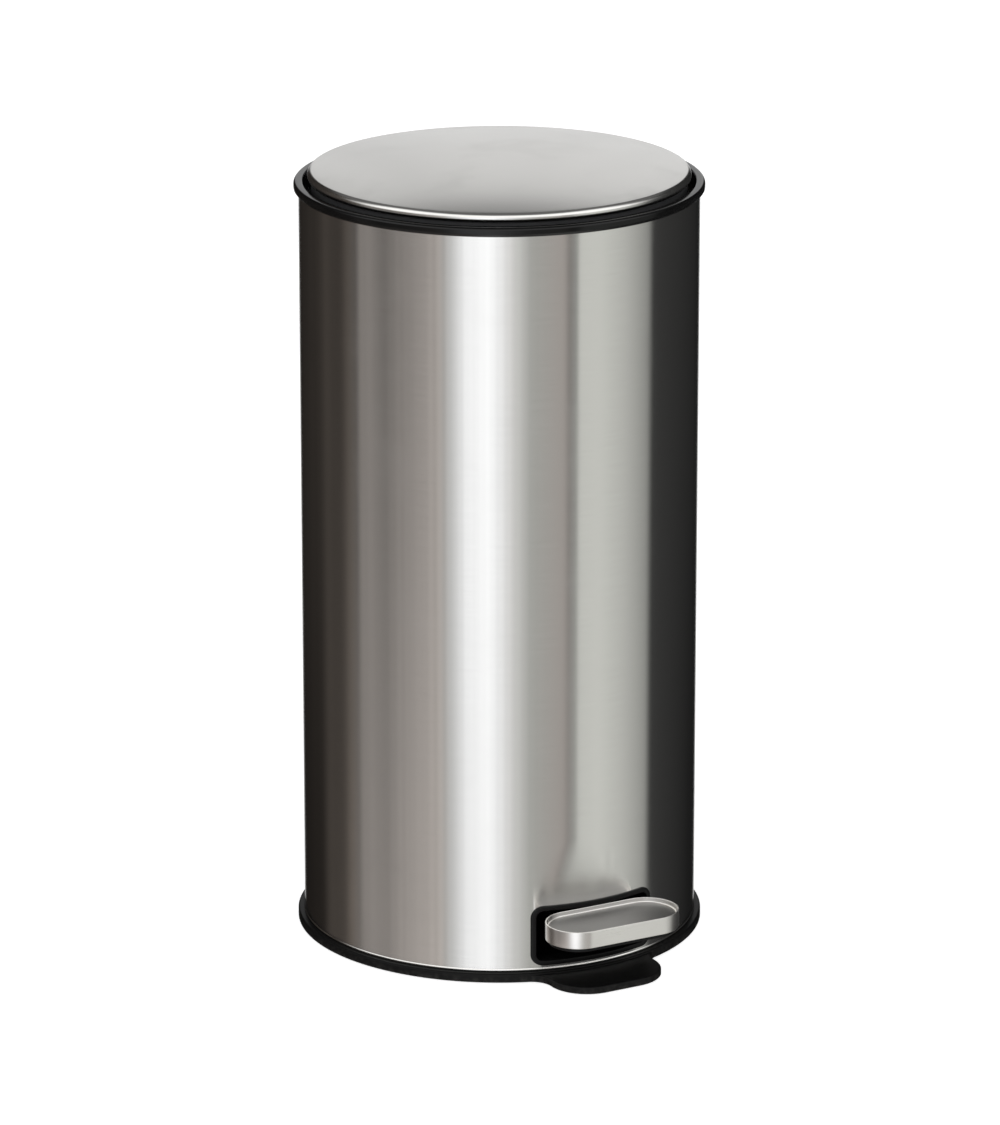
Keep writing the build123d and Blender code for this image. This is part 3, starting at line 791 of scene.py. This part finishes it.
# ---- casing -------------------------------------------------------------------------------------
@dataclass
class WellShape:
    """Rounded opening at the front of the tube, and the frame round it."""

    width: float = 103.0
    low: float = 12.0
    high: float = 59.0
    corner: float = 9.0

    def outline(self, inset: float, steps: int = 12) -> list[Point]:
        """The frame's (x, z) outline, smaller by inset.

        Args:
            inset: how far inside the frame's outer edge.
            steps: spans of each corner.

        Returns:
            The outline, with points along its long sides for wrapping round the tube.
        """
        half, low, high = self.width / 2.0 - inset, self.low + inset, self.high - inset
        radius = self.corner - inset
        corners = ((-half, low), (half, low), (half, high), (-half, high))
        bare = rounded([(x, z, radius) for x, z in corners], steps)
        path: list[Point] = []
        for index, here in enumerate(bare):
            after = bare[(index + 1) % len(bare)]
            parts = 24 if abs(after[0] - here[0]) > 40.0 else 1
            path += [tuple(here[k] + (after[k] - here[k]) * i / parts for k in (0, 1)) for i in range(parts)]
        return path

    def wrapped(self, inset: float, radius: float) -> Loop:
        """That outline laid on the tube's front at a radius."""
        return [Vector((x, -sqrt(radius * radius - x * x), z)) for x, z in self.outline(inset)]

    def plug(self, inset: float) -> Skin:
        """A straight plug of that outline, long enough to pass through the wall."""
        flat = self.outline(inset)
        return Skin().rings([[Vector((x, y, z)) for x, z in flat] for y in (-100.0, -200.0)], caps=True)


@dataclass
class Tube(Assembly):
    """Steel tube with a rolled hem, the pedal opening, the hinge notch and its welded seam."""

    radius: float = 150.0
    sheet: float = 0.7
    low: float = 8.1
    high: float = 576.0
    hem: float = 0.45
    hem_height: float = 2.1
    notch_half: float = 34.6
    notch_low: float = 552.0
    seam_top: float = 545.5

    def wall(self) -> None:
        """Makes the tube's wall."""
        rows = 28
        bead_high, shares = self.low + self.hem_height, [i / 8 for i in range(9)]
        lift = bead_high - self.low
        bead = [(self.radius + self.hem * sin(pi * share), self.low + lift * share) for share in shares]
        heights = [bead_high + (self.high - bead_high) * i / rows for i in range(1, rows + 1)]
        outer = bead + [(self.radius, z) for z in heights]
        inner = [(self.radius - self.sheet, z) for z in reversed([self.low, *heights])]
        piece = Skin().turned(outer + inner).made("body_tube")
        well = WellShape()
        notch = Skin().box((-self.notch_half, 100.0, self.notch_low), (self.notch_half, 175.0, 600.0))
        cut(piece, [well.plug(1.7), notch])
        true_normals(piece, upright)
        self.fit(piece, STEEL_BODY, "steel_body", "body_shell")

    def seam(self) -> None:
        """Makes the flattened weld bead down the back."""
        half, proud, rows = 0.9, 0.14, 180
        flank, rise, root = 0.6 * half, 0.6 * proud, -0.05
        section = [(-half, root), (-flank, rise), (0.0, proud), (flank, rise), (half, root)]
        start, length = self.low + 3.0, self.seam_top - self.low - 3.0
        loops: list[Loop] = []
        for row in range(rows + 1):
            z = start + length * row / rows
            ripple = 1.0 + 0.12 * sin(row * 2.1) + 0.06 * sin(row * 0.7)
            loops.append([Vector((x * ripple, self.radius + h * ripple, z)) for x, h in section])
        piece = Skin().rings(loops, caps=True).made("body_seam", 60.0)
        self.fit(piece, STEEL_BODY, "steel_body")


@dataclass
class Collar(Assembly):
    """Gloss collar on the tube's top, with the bucket's seat and the two hinge cheeks."""

    outer: float = 153.6
    inner: float = 146.6
    top: float = 582.0
    lip: float = 574.7
    low: float = 556.0
    seat_low: float = 566.0
    seat_high: float = 568.5
    seat_opening: float = 129.5
    bucket_y: float = -4.0
    gate: float = 25.5
    cheek_out: float = 34.0
    cheek_rear: float = 156.5
    cheek_low: float = 560.0
    cheek_high: float = 580.0
    skirt: float = 149.2
    tube_out: float = 150.1
    tube_top: float = 576.1

    def ring(self) -> None:
        """Makes the ring with its seat."""
        profile = rounded(
            [
                (self.inner, self.low, 0.3),
                (self.skirt, self.low, 0.3),
                (self.skirt, self.tube_top, 0.0),
                (self.tube_out, self.tube_top, 0.0),
                (self.tube_out, self.lip, 0.2),
                (self.outer - 2.4, self.lip, 0.5),
                (self.outer, self.lip + 2.4, 0.8),
                (self.outer, self.top, 2.3),
                (self.inner, self.top, 1.3),
            ],
            8,
        )
        piece = Skin().turned(profile).made("collar_ring", 40.0)
        gate = Skin().box((-self.gate, 133.0, self.seat_high - 0.02), (self.gate, 175.0, 600.0))
        cut(piece, [gate], 40.0)
        self.fit(piece, BLACK_GLOSS, "gloss_black", "top_collar")

    def seat(self) -> None:
        """Makes the web that carries the bucket, with the slot for the lid's crank."""
        edge, bucket, outer = 0.5, (0.0, self.bucket_y), self.inner + 0.3
        loops = [
            circle(outer, self.seat_low),
            circle(outer, self.seat_high),
            circle(self.seat_opening + edge, self.seat_high, bucket),
            circle(self.seat_opening, self.seat_high - edge, bucket),
            circle(self.seat_opening, self.seat_low + edge, bucket),
            circle(self.seat_opening + edge, self.seat_low, bucket),
        ]
        piece = Skin().rings(loops, wrap=True).made("collar_seat")
        slot_half = 10.5
        cut(piece, [Skin().box((-slot_half, 120.0, 560.0), (slot_half, 146.4, 575.0))])
        self.fit(piece, BLACK_GLOSS, "gloss_black")

    def cheeks(self) -> None:
        """Makes the two blocks that hold the hinge pin."""
        skin = Skin()
        for side in (-1.0, 1.0):
            x0, x1 = sorted((side * self.gate, side * self.cheek_out))
            skin.box((x0, self.inner - 4.0, self.cheek_low), (x1, self.cheek_rear, self.cheek_high), 1.2)
        self.fit(skin.made("collar_cheeks"), BLACK_GLOSS, "gloss_black")


@dataclass
class Base(Assembly):
    """Moulded base: ring, foot tongue, floor with hub and ribs, and the upstand inside the tube."""

    radius: float = 155.0
    low: float = 1.0
    high: float = 8.0
    edge: float = 1.5
    spigot_in: float = 146.2
    spigot_out: float = 149.2
    spigot_high: float = 26.0
    tongue_half: float = 45.0
    tongue_front: float = -192.0
    tongue_corner: float = 30.0
    tongue_flare: float = 16.0
    tongue_high: float = 6.5
    hub: float = 16.0
    joint: float = 3.2
    screws: tuple[Point, ...] = (
        (-25.0, -8.0),
        (-25.0, 8.0),
        (25.0, -8.0),
        (25.0, 8.0),
        (-24.0, 131.0),
        (24.0, 131.0),
    )

    def ring(self) -> None:
        """Makes the ring with its upstand."""
        profile = rounded(
            [
                (self.spigot_in, self.low, 0.0),
                (self.radius, self.low, 0.6),
                (self.radius, self.high, self.edge),
                (self.spigot_out, self.high, 0.0),
                (self.spigot_out, self.spigot_high, 0.4),
                (self.spigot_in, self.spigot_high, 0.4),
            ],
            8,
        )
        piece = Skin().turned(profile).made("base_ring")
        cut(piece, [Skin().box((-50.0, -152.0, 10.0), (50.0, -130.0, 30.0))])
        self.fit(piece, BLACK_SATIN, "black_plastic", "base_pan")

    def tongue_plan(self, inset: float) -> list[Point]:
        """Outline of the tongue, its flares and a back edge hidden inside the ring.

        Args:
            inset: how much smaller than the tongue's foot.

        Returns:
            The closed outline.
        """
        half, corner = self.tongue_half, self.tongue_corner
        flare_x = half + self.tongue_flare
        flare_y = -sqrt((self.radius + self.tongue_flare) ** 2 - flare_x**2)
        lean = degrees(atan2(-flare_y, -flare_x))
        right = arc((flare_x, flare_y), self.tongue_flare + inset, lean, 180.0, 10)
        nose = arc((half - corner, self.tongue_front + corner), corner - inset, 0.0, -90.0, 16)
        side = right + nose
        other = [(-x, y) for x, y in reversed(side)]
        start = degrees(atan2(side[0][1], -side[0][0]))
        back = arc((0.0, 0.0), self.radius - 5.0, start, -180.0 - start, 24)
        return side + other + back

    def tongue(self) -> None:
        """Makes the foot tongue."""
        steps = 8
        loops = [level(self.tongue_plan(0.5), self.low), level(self.tongue_plan(0.0), self.low + 0.5)]
        for back, down in eased(self.edge, [90.0 * step / steps for step in range(steps + 1)]):
            loops.append(level(self.tongue_plan(back), self.tongue_high - down))
        piece = Skin().rings(loops, caps=True).made("base_tongue", 30.0)
        self.fit(piece, BLACK_SATIN, "black_plastic")

    def floor(self) -> None:
        """Makes the floor, hub, ribs and screw bosses."""
        under, over, reach = 3.0, 5.5, self.spigot_in + 0.5
        skin = Skin().turned([(0.0, under), (reach, under), (reach, over), (0.0, over)])
        hole, rim, joint = self.hub - 5.0, self.hub - 4.5, self.joint
        hub = rounded([(hole, 0.0, 0.4), (self.hub, 0.0, 0.6), (self.hub, joint, 0.0), (hole, joint, 0.0)])
        skin.turned(hub, steps=96)
        skin.turned([(0.0, 1.2), (rim, 1.2), (rim, joint), (0.0, joint)], steps=96)
        crest, ends = self.low + 0.6, (self.hub - 1.0, self.spigot_in + 1.0)
        section = [(-1.2, joint), (-0.9, crest), (0.9, crest), (1.2, joint)]
        for spoke in range(12):
            turn = radians(30.0 * spoke)
            ahead, aside = Vector((cos(turn), sin(turn), 0.0)), Vector((-sin(turn), cos(turn), 0.0))
            loops = [[ahead * r + aside * w + Vector((0.0, 0.0, z)) for w, z in section] for r in ends]
            skin.rings(loops, caps=True)
        foot = self.low + 0.2
        boss = rounded([(1.9, foot, 0.2), (5.0, foot, 0.4), (5.0, joint, 0.0), (1.9, joint, 0.0)])
        for screw in self.screws:
            skin.turned(boss, screw, 40)
        self.fit(skin.made("base_floor"), BLACK_SATIN, "black_plastic")


@dataclass
class Well(Assembly):
    """Moulded frame round the pedal opening."""

    tube: float = 150.0
    proud: float = 1.4
    band: float = 3.8
    under: float = 1.8
    depth_radius: float = 138.0

    def bezel(self) -> None:
        """Makes the frame, a lip over the steel and a sleeve through it."""
        shape, face, edge = WellShape(), self.tube + self.proud, 0.6
        stations = [(self.band, self.depth_radius), (self.band, face - edge)]
        stations += [(self.band - back, face - down) for back, down in eased(edge, (30, 60, 90))]
        stations += [(down, face - back) for back, down in eased(edge, (0, 30, 60, 90))]
        seat = self.tube + 0.08
        stations += [(0.0, seat), (self.under, seat), (self.under, self.depth_radius)]
        piece = Skin().rings([shape.wrapped(i, r) for i, r in stations], wrap=True).made("well_frame", 32.0)
        self.fit(piece, BLACK_WELL, "black_plastic", "pedal_bezel")


@dataclass
class Fittings(Assembly):
    """Small parts of the casing that keep the frame's own shape."""

    dressing = (
        (RUBBER, ("rubber_feet", "collar_bumpers")),
        (BLACK_SATIN, ("hinge_cover",)),
        (ZINC, ("hinge_cover_screws", "lever_bracket", "bracket_screws", "damper_bracket")),
        (STEEL_BRIGHT, ("lid_hinge_pin", "lever_pin")),
        (BLACK_MATT, ("rod_guide_lower", "rod_guide_upper", "damper_cap")),
        (GREY_NATURAL, ("damper_cylinder",)),
    )


# ---- moving parts -------------------------------------------------------------------------------
def stadium(inset: float, width: float = 108.0, depth: float = 49.0, centre_y: float = -174.0) -> list[Point]:
    """Plan outline with half-round ends.

    Args:
        inset: how much smaller all round.
        width: overall width.
        depth: overall depth.
        centre_y: where its middle lies.

    Returns:
        The outline.
    """
    reach, radius = (width - depth) / 2.0, depth / 2.0 - inset
    right = arc((reach, centre_y), radius, -90.0, 90.0, 40)
    left = arc((-reach, centre_y), radius, 90.0, 270.0, 40)
    return right + left


@dataclass
class Pedal(Assembly):
    """Pressed steel tray on a moulded carrier, with its lever."""

    body = "pedal"
    dressing = (
        (BLACK_WELL, ("pedal_carrier",)),
        (ZINC, ("pedal_lever", "pedal_screws")),
        (GREY_NATURAL, ("lever_bush",)),
    )
    low: float = 41.0
    top: float = 54.4
    floor: float = 50.6
    wall: float = 1.2
    lip: float = 0.45

    def tray(self) -> None:
        """Makes the tray: a raised wall all round a sunk floor."""
        wall, lip, sweep = self.wall, self.lip, 0.9
        under, inner = self.floor - wall, wall - lip
        stations = [(wall + 6.0, under), (wall, under), (wall, self.low + 0.2), (0.5, self.low)]
        stations += [(0.0, self.low + 0.5), (0.0, self.top - lip)]
        stations += [(back, self.top - down) for back, down in eased(lip, (25, 50, 75, 90))]
        leans = [radians(a) for a in (0, 25, 50, 75, 90)]
        stations += [(inner + lip * sin(a), self.top - lip * (1.0 - cos(a))) for a in leans]
        stations += [(wall + back, self.floor + down) for back, down in eased(sweep, (0, 30, 60, 90))]
        stations += [(wall + sweep + 8.0, self.floor)]
        piece = Skin().rings([level(stadium(i), z) for i, z in stations], caps=True).made("pedal_tray", 40.0)
        self.fit(piece, STEEL_PEDAL, "steel_pedal", "pedal_cap")

    def tread(self) -> None:
        """Makes the thin satin plate laid on the tray's floor."""
        side, thick, edge = self.wall + 1.5, 0.35, 0.12
        top = self.floor + thick
        stations = [(side, self.floor + 0.01), (side, top - edge), (side + edge, top)]
        piece = Skin().rings([level(stadium(i), z) for i, z in stations], caps=True).made("pedal_tread", 30.0)
        self.fit(piece, STEEL_TREAD, "steel_pedal")


@dataclass
class PushRod(Assembly):
    """Rod from the lever to the lid's crank."""

    body = "rod"
    dressing = (
        (STEEL_BRIGHT, ("push_rod",)),
        (GREY_NATURAL, ("rod_foot", "rod_end", "damper_piston")),
    )


@dataclass
class Lid(Assembly):
    """Crowned steel lid with its rolled rim, moulded liner and hinge arm."""

    body = "lid"
    dressing = (
        (ZINC, ("lid_hinge_arm", "lid_screws")),
        (STEEL_BRIGHT, ("crank_pin",)),
    )
    rim_radius: float = 139.3
    rim_height: float = 586.2
    roll: float = 4.0
    roll_end: float = 50.0
    crown: float = 10.5
    sheet: float = 0.8
    liner_radius: float = 141.9
    liner_low: float = 585.3
    liner_high: float = 587.3
    skirt_out: float = 140.6
    skirt_in: float = 138.0
    skirt_low: float = 574.5
    gate: float = 27.0
    rib_width: float = 2.0
    ribs: tuple[Point, ...] = ((42.0, 0.7), (94.0, 2.5))

    def surface(self, inset: float) -> list[Point]:
        """Half section of the lid from its pole to the end of the rolled rim.

        Args:
            inset: depth under the outer surface.

        Returns:
            (radius, height) points.
        """
        slope, roll = radians(self.crown), self.roll - inset
        meet = self.rim_radius + self.roll * sin(slope)
        crown_radius = meet / sin(slope)
        centre = self.rim_height + self.roll * cos(slope) - crown_radius * cos(slope)
        top = arc((0.0, centre), crown_radius - inset, 90.0, 90.0 - self.crown, 48)
        rim = arc((self.rim_radius, self.rim_height), roll, 90.0 - self.crown, -self.roll_end, 36)
        return top + rim[1:]

    def dome(self) -> None:
        """Makes the steel lid."""
        section = self.surface(0.0) + list(reversed(self.surface(self.sheet)))
        section[0] = (0.0, section[0][1])
        section[-1] = (0.0, section[-1][1])
        self.fit(Skin().turned(section).made("lid_shell", 40.0), STEEL_LID, "steel_lid", "lid_dome")

    def liner(self) -> None:
        """Makes the moulded liner with its skirt and stiffening rings."""
        low, high = self.liner_low, self.liner_high
        corners: list[Corner] = [(0.0, low, 0.0)]
        for radius, depth in self.ribs:
            outer, foot = radius + self.rib_width, low - depth
            corners += [(radius, low, 0.2), (radius, foot, 0.3), (outer, foot, 0.3), (outer, low, 0.2)]
        corners += [(self.skirt_in, low, 0.8), (self.skirt_in, self.skirt_low, 0.5)]
        corners += [(self.skirt_out, self.skirt_low, 0.5), (self.skirt_out, low, 0.3)]
        corners += [(self.liner_radius, low, 0.3), (self.liner_radius, high, 0.3), (0.0, high, 0.0)]
        piece = Skin().turned(rounded(corners, 4)).made("lid_inner")
        cut(piece, [Skin().box((-self.gate, 100.0, 560.0), (self.gate, 160.0, low - 0.01))])
        self.fit(piece, GREY_LINER, "grey_plastic", "lid_liner")


@dataclass
class Bucket(Assembly):
    """Moulded inner bucket that hangs on the collar's seat."""

    body = "bucket"
    centre_y: float = -4.0
    top_radius: float = 128.5
    low_radius: float = 112.0
    wall: float = 2.0
    low: float = 66.0
    flange_low: float = 568.8
    flange_high: float = 571.3
    flange_radius: float = 133.0
    flange_rear: float = 127.9

    def shell(self) -> None:
        """Makes the bucket: tapered wall, stepped floor, rolled flange."""
        inner_top, inner_low = self.top_radius - self.wall, self.low_radius - self.wall
        profile = rounded(
            [
                (0.0, self.low + 1.0, 0.0),
                (70.0, self.low + 1.0, 0.6),
                (71.5, self.low, 0.6),
                (self.low_radius, self.low, 7.0),
                (self.top_radius, self.flange_low, 0.5),
                (self.flange_radius, self.flange_low, 0.3),
                (self.flange_radius, self.flange_high, 1.0),
                (inner_top, self.flange_high, 0.9),
                (inner_low, self.low + 2.5, 6.0),
                (72.0, self.low + 2.5, 0.6),
                (70.0, self.low + 3.4, 0.6),
                (0.0, self.low + 3.4, 0.0),
            ],
            7,
        )
        piece = Skin().turned(profile, (0.0, self.centre_y)).made("bucket_shell", 40.0)
        rear = Skin().box((-150.0, self.flange_rear, self.flange_low - 0.01), (150.0, 165.0, 580.0))
        cut(piece, [rear], 40.0)
        self.fit(piece, BUCKET_GREY, "bucket_plastic", "inner_bucket")

    def nubs(self) -> None:
        """Makes the two rests for the wire handle."""
        skin, half, root, tip = Skin(), 5.0, 115.0, 127.0
        outline = rounded([(-half, root, 1.2), (half, root, 1.2), (half, tip, 0.0), (-half, tip, 0.0)], 4)
        for lean in (-32.0, 32.0):
            turn = radians(lean)
            ahead, aside = Vector((sin(turn), -cos(turn), 0.0)), Vector((cos(turn), sin(turn), 0.0))
            loops: list[Loop] = []
            for height in (556.7, 559.7):
                middle = Vector((0.0, self.centre_y, height))
                loops.append([middle + aside * w + ahead * r for w, r in outline])
            skin.rings(loops, caps=True)
        self.fit(skin.made("bucket_rests"), BUCKET_GREY, "bucket_plastic")


@dataclass
class Bail(Assembly):
    """Wire handle of the bucket with its grip."""

    body = "bail"
    dressing = (
        (STEEL_BRIGHT, ("bail_handle",)),
        (BLACK_MATT, ("bail_grip",)),
    )


# ---- studio -------------------------------------------------------------------------------------
@dataclass(frozen=True)
class Card:
    """Edge of a reflection card in the ring round the can.

    Its bearing from the camera, its brightness at the wall's height and near the floor, and its tint.
    """

    bearing: float
    brightness: float
    near_floor: float
    tint: Colour = (1.0, 1.0, 1.0)

    def stop(self, low: bool) -> tuple[float, Colour]:
        """The card's edge as a stop of the ring's ramp.

        Args:
            low: for the ramp near the floor.

        Returns:
            The stop's position and colour.
        """
        strength = self.near_floor if low else self.brightness
        return (self.bearing + 180.0) / 360.0, tuple(strength * t for t in self.tint)


BROWN: Colour = (1.14, 0.98, 0.87)
WARM: Colour = (1.07, 0.99, 0.945)
COOL: Colour = (1.0, 1.015, 0.975)
WHITE: Colour = (0.985, 1.0, 1.03)

SURROUND = (
    Card(-180.0, 0.80, 0.80),
    Card(-171.0, 0.75, 0.75),
    Card(-166.0, 0.016, 0.010, BROWN),
    Card(-127.0, 0.038, 0.014, BROWN),
    Card(-120.0, 0.062, 0.064, BROWN),
    Card(-104.0, 0.042, 0.080, BROWN),
    Card(-97.0, 0.085, 0.20, BROWN),
    Card(-90.0, 0.085, 0.22, WARM),
    Card(-87.0, 0.25, 0.31, WARM),
    Card(-79.0, 0.24, 0.34, WARM),
    Card(-70.0, 0.135, 0.35, WARM),
    Card(-60.0, 0.19, 0.46, WARM),
    Card(-50.0, 0.23, 0.52, WARM),
    Card(-35.0, 0.42, 0.58, WARM),
    Card(-30.0, 0.56, 0.59),
    Card(-20.0, 1.25, 1.02, WHITE),
    Card(-10.0, 1.44, 1.25, WHITE),
    Card(-2.0, 1.33, 1.10, WHITE),
    Card(8.0, 0.82, 0.72),
    Card(18.0, 0.435, 0.48, COOL),
    Card(37.5, 0.39, 0.37, WARM),
    Card(40.0, 0.17, 0.31, WARM),
    Card(45.0, 0.27, 0.44, COOL),
    Card(46.5, 0.68, 0.60, COOL),
    Card(60.0, 0.66, 0.71, COOL),
    Card(76.0, 0.53, 0.59, COOL),
    Card(95.0, 0.30, 0.38, COOL),
    Card(98.5, 0.045, 0.045),
    Card(150.0, 0.022, 0.010),
    Card(166.0, 0.010, 0.010),
    Card(171.0, 0.83, 0.83),
    Card(180.0, 0.80, 0.80),
)


@dataclass
class Studio:
    """Camera, surround of soft cards and pale floor."""

    bearing: float = -29.0
    distance: float = 4.5
    height: float = 1.6595
    tilt: float = 17.01
    lens: float = 198.3
    aside: float = 0.0005
    overhead: float = 0.14
    canopy: float = 1.3
    near_floor: Point = (-15.5, -20.5)
    canopy_rise: Point = (6.0, 20.0)
    ceiling_rise: Point = (48.0, 70.0)
    rear_ceiling_rise: Point = (28.5, 37.0)

    def _facing(self) -> tuple[Vector, Vector]:
        """Level directions towards the camera and to its right."""
        turn = radians(self.bearing)
        return Vector((sin(turn), -cos(turn), 0.0)), Vector((cos(turn), sin(turn), 0.0))

    def camera(self) -> None:
        """Makes the camera, looking a little down at the can."""
        towards, right = self._facing()
        made = bpy.data.objects.new("camera", bpy.data.cameras.new("camera"))
        bpy.context.scene.collection.objects.link(made)
        made.data.lens = self.lens
        made.data.sensor_width = 36.0
        made.data.clip_end = 60.0
        made.location = towards * self.distance + right * self.aside + Vector((0.0, 0.0, self.height))
        dip = radians(self.tilt)
        look = -towards * cos(dip) - Vector((0.0, 0.0, sin(dip)))
        made.rotation_mode = "QUATERNION"
        made.rotation_quaternion = look.to_track_quat("-Z", "Y")
        bpy.context.scene.camera = made

    def surround(self) -> None:
        """Lights the scene with a ring of soft cards, dark flags between them and a dim ceiling."""
        towards, right = self._facing()
        world = bpy.data.worlds.new("studio")
        world.use_nodes = True
        bpy.context.scene.world = world
        sheet = NodeSheet(world.node_tree)
        ray = sheet.node("ShaderNodeTexCoord", None, None, "Generated")

        def along(axis: Vector) -> Wire:
            """How far the ray points along an axis."""
            operands = {0: ray, 1: tuple(axis)}
            return sheet.node("ShaderNodeVectorMath", {"operation": "DOT_PRODUCT"}, operands, 1)

        side, front, up = along(right), along(towards), along(Vector((0.0, 0.0, 1.0)))

        def between(elevations: Point) -> Wire:
            """Smooth step from one elevation to another, in degrees."""
            return up.ramp(*(sin(radians(elevation)) for elevation in elevations))

        turn = side.math("ARCTAN2", side, front) / (2.0 * pi) + 0.5
        rings = [
            sheet.node("ShaderNodeValToRGB", {"stops": [card.stop(low) for card in SURROUND]}, {0: turn})
            for low in (False, True)
        ]
        ring = sheet.blend(between(self.near_floor), *rings)
        streaks = sheet.noise(sheet.join(turn * 140.0, 0.0, 0.0), 1.0, 4.0, 0.75).ramp(0.40, 0.72)
        ring = sheet.blend(streaks * side.ramp(0.9, -0.6) * 0.35, ring, (0.0, 0.0, 0.0))
        canopy = front.ramp(-0.35, 0.15) * between(self.canopy_rise)
        ring = sheet.blend(canopy, ring, (self.canopy,) * 3)
        rise = between(self.ceiling_rise)
        away = between(self.rear_ceiling_rise) * front.ramp(0.0, -0.3)
        sky = sheet.blend(rise.math("MAXIMUM", rise, away), ring, (self.overhead,) * 3)
        path = sheet.node("ShaderNodeLightPath", None, None, "Is Camera Ray")
        colour = sheet.blend(path, sky, (1.0, 1.0, 1.0))
        light = sheet.node("ShaderNodeBackground", None, {"Color": colour, "Strength": 1.0})
        sheet.node("ShaderNodeOutputWorld", None, {"Surface": light})

    def floor(self) -> None:
        """Makes the pale floor."""
        columns = 96
        loops = [circle(radius, -0.02, steps=columns) for radius in (400.0, 2000.0, 30000.0)]
        skin = Skin().rings(loops)
        skin.faces.append(tuple(range(columns)))
        piece = skin.made("studio_floor")
        piece.data.materials.append(PAPER.material())
        piece.visible_glossy = False

    def build(self) -> None:
        """Makes the whole studio."""
        self.camera()
        self.surround()
        self.floor()
        view = bpy.context.scene.view_settings
        view.view_transform = "Standard"
        view.look = "None"
        log.info("studio ready, camera bearing %.1f degrees", self.bearing)


def main() -> None:
    """Builds and dresses the bin, then the studio."""
    logging.basicConfig(level=logging.INFO, format="%(name)s: %(message)s")
    tube = Tube()
    tube.wall()
    tube.seam()
    collar = Collar()
    collar.ring()
    collar.seat()
    collar.cheeks()
    base = Base()
    base.ring()
    base.tongue()
    base.floor()
    Well().bezel()
    Fittings().dress_all()
    pedal = Pedal()
    pedal.tray()
    pedal.tread()
    pedal.dress_all()
    PushRod().dress_all()
    lid = Lid()
    lid.dome()
    lid.liner()
    lid.dress_all()
    bucket = Bucket()
    bucket.shell()
    bucket.nubs()
    Bail().dress_all()
    Studio().build()


if __name__ == "__main__":
    main()
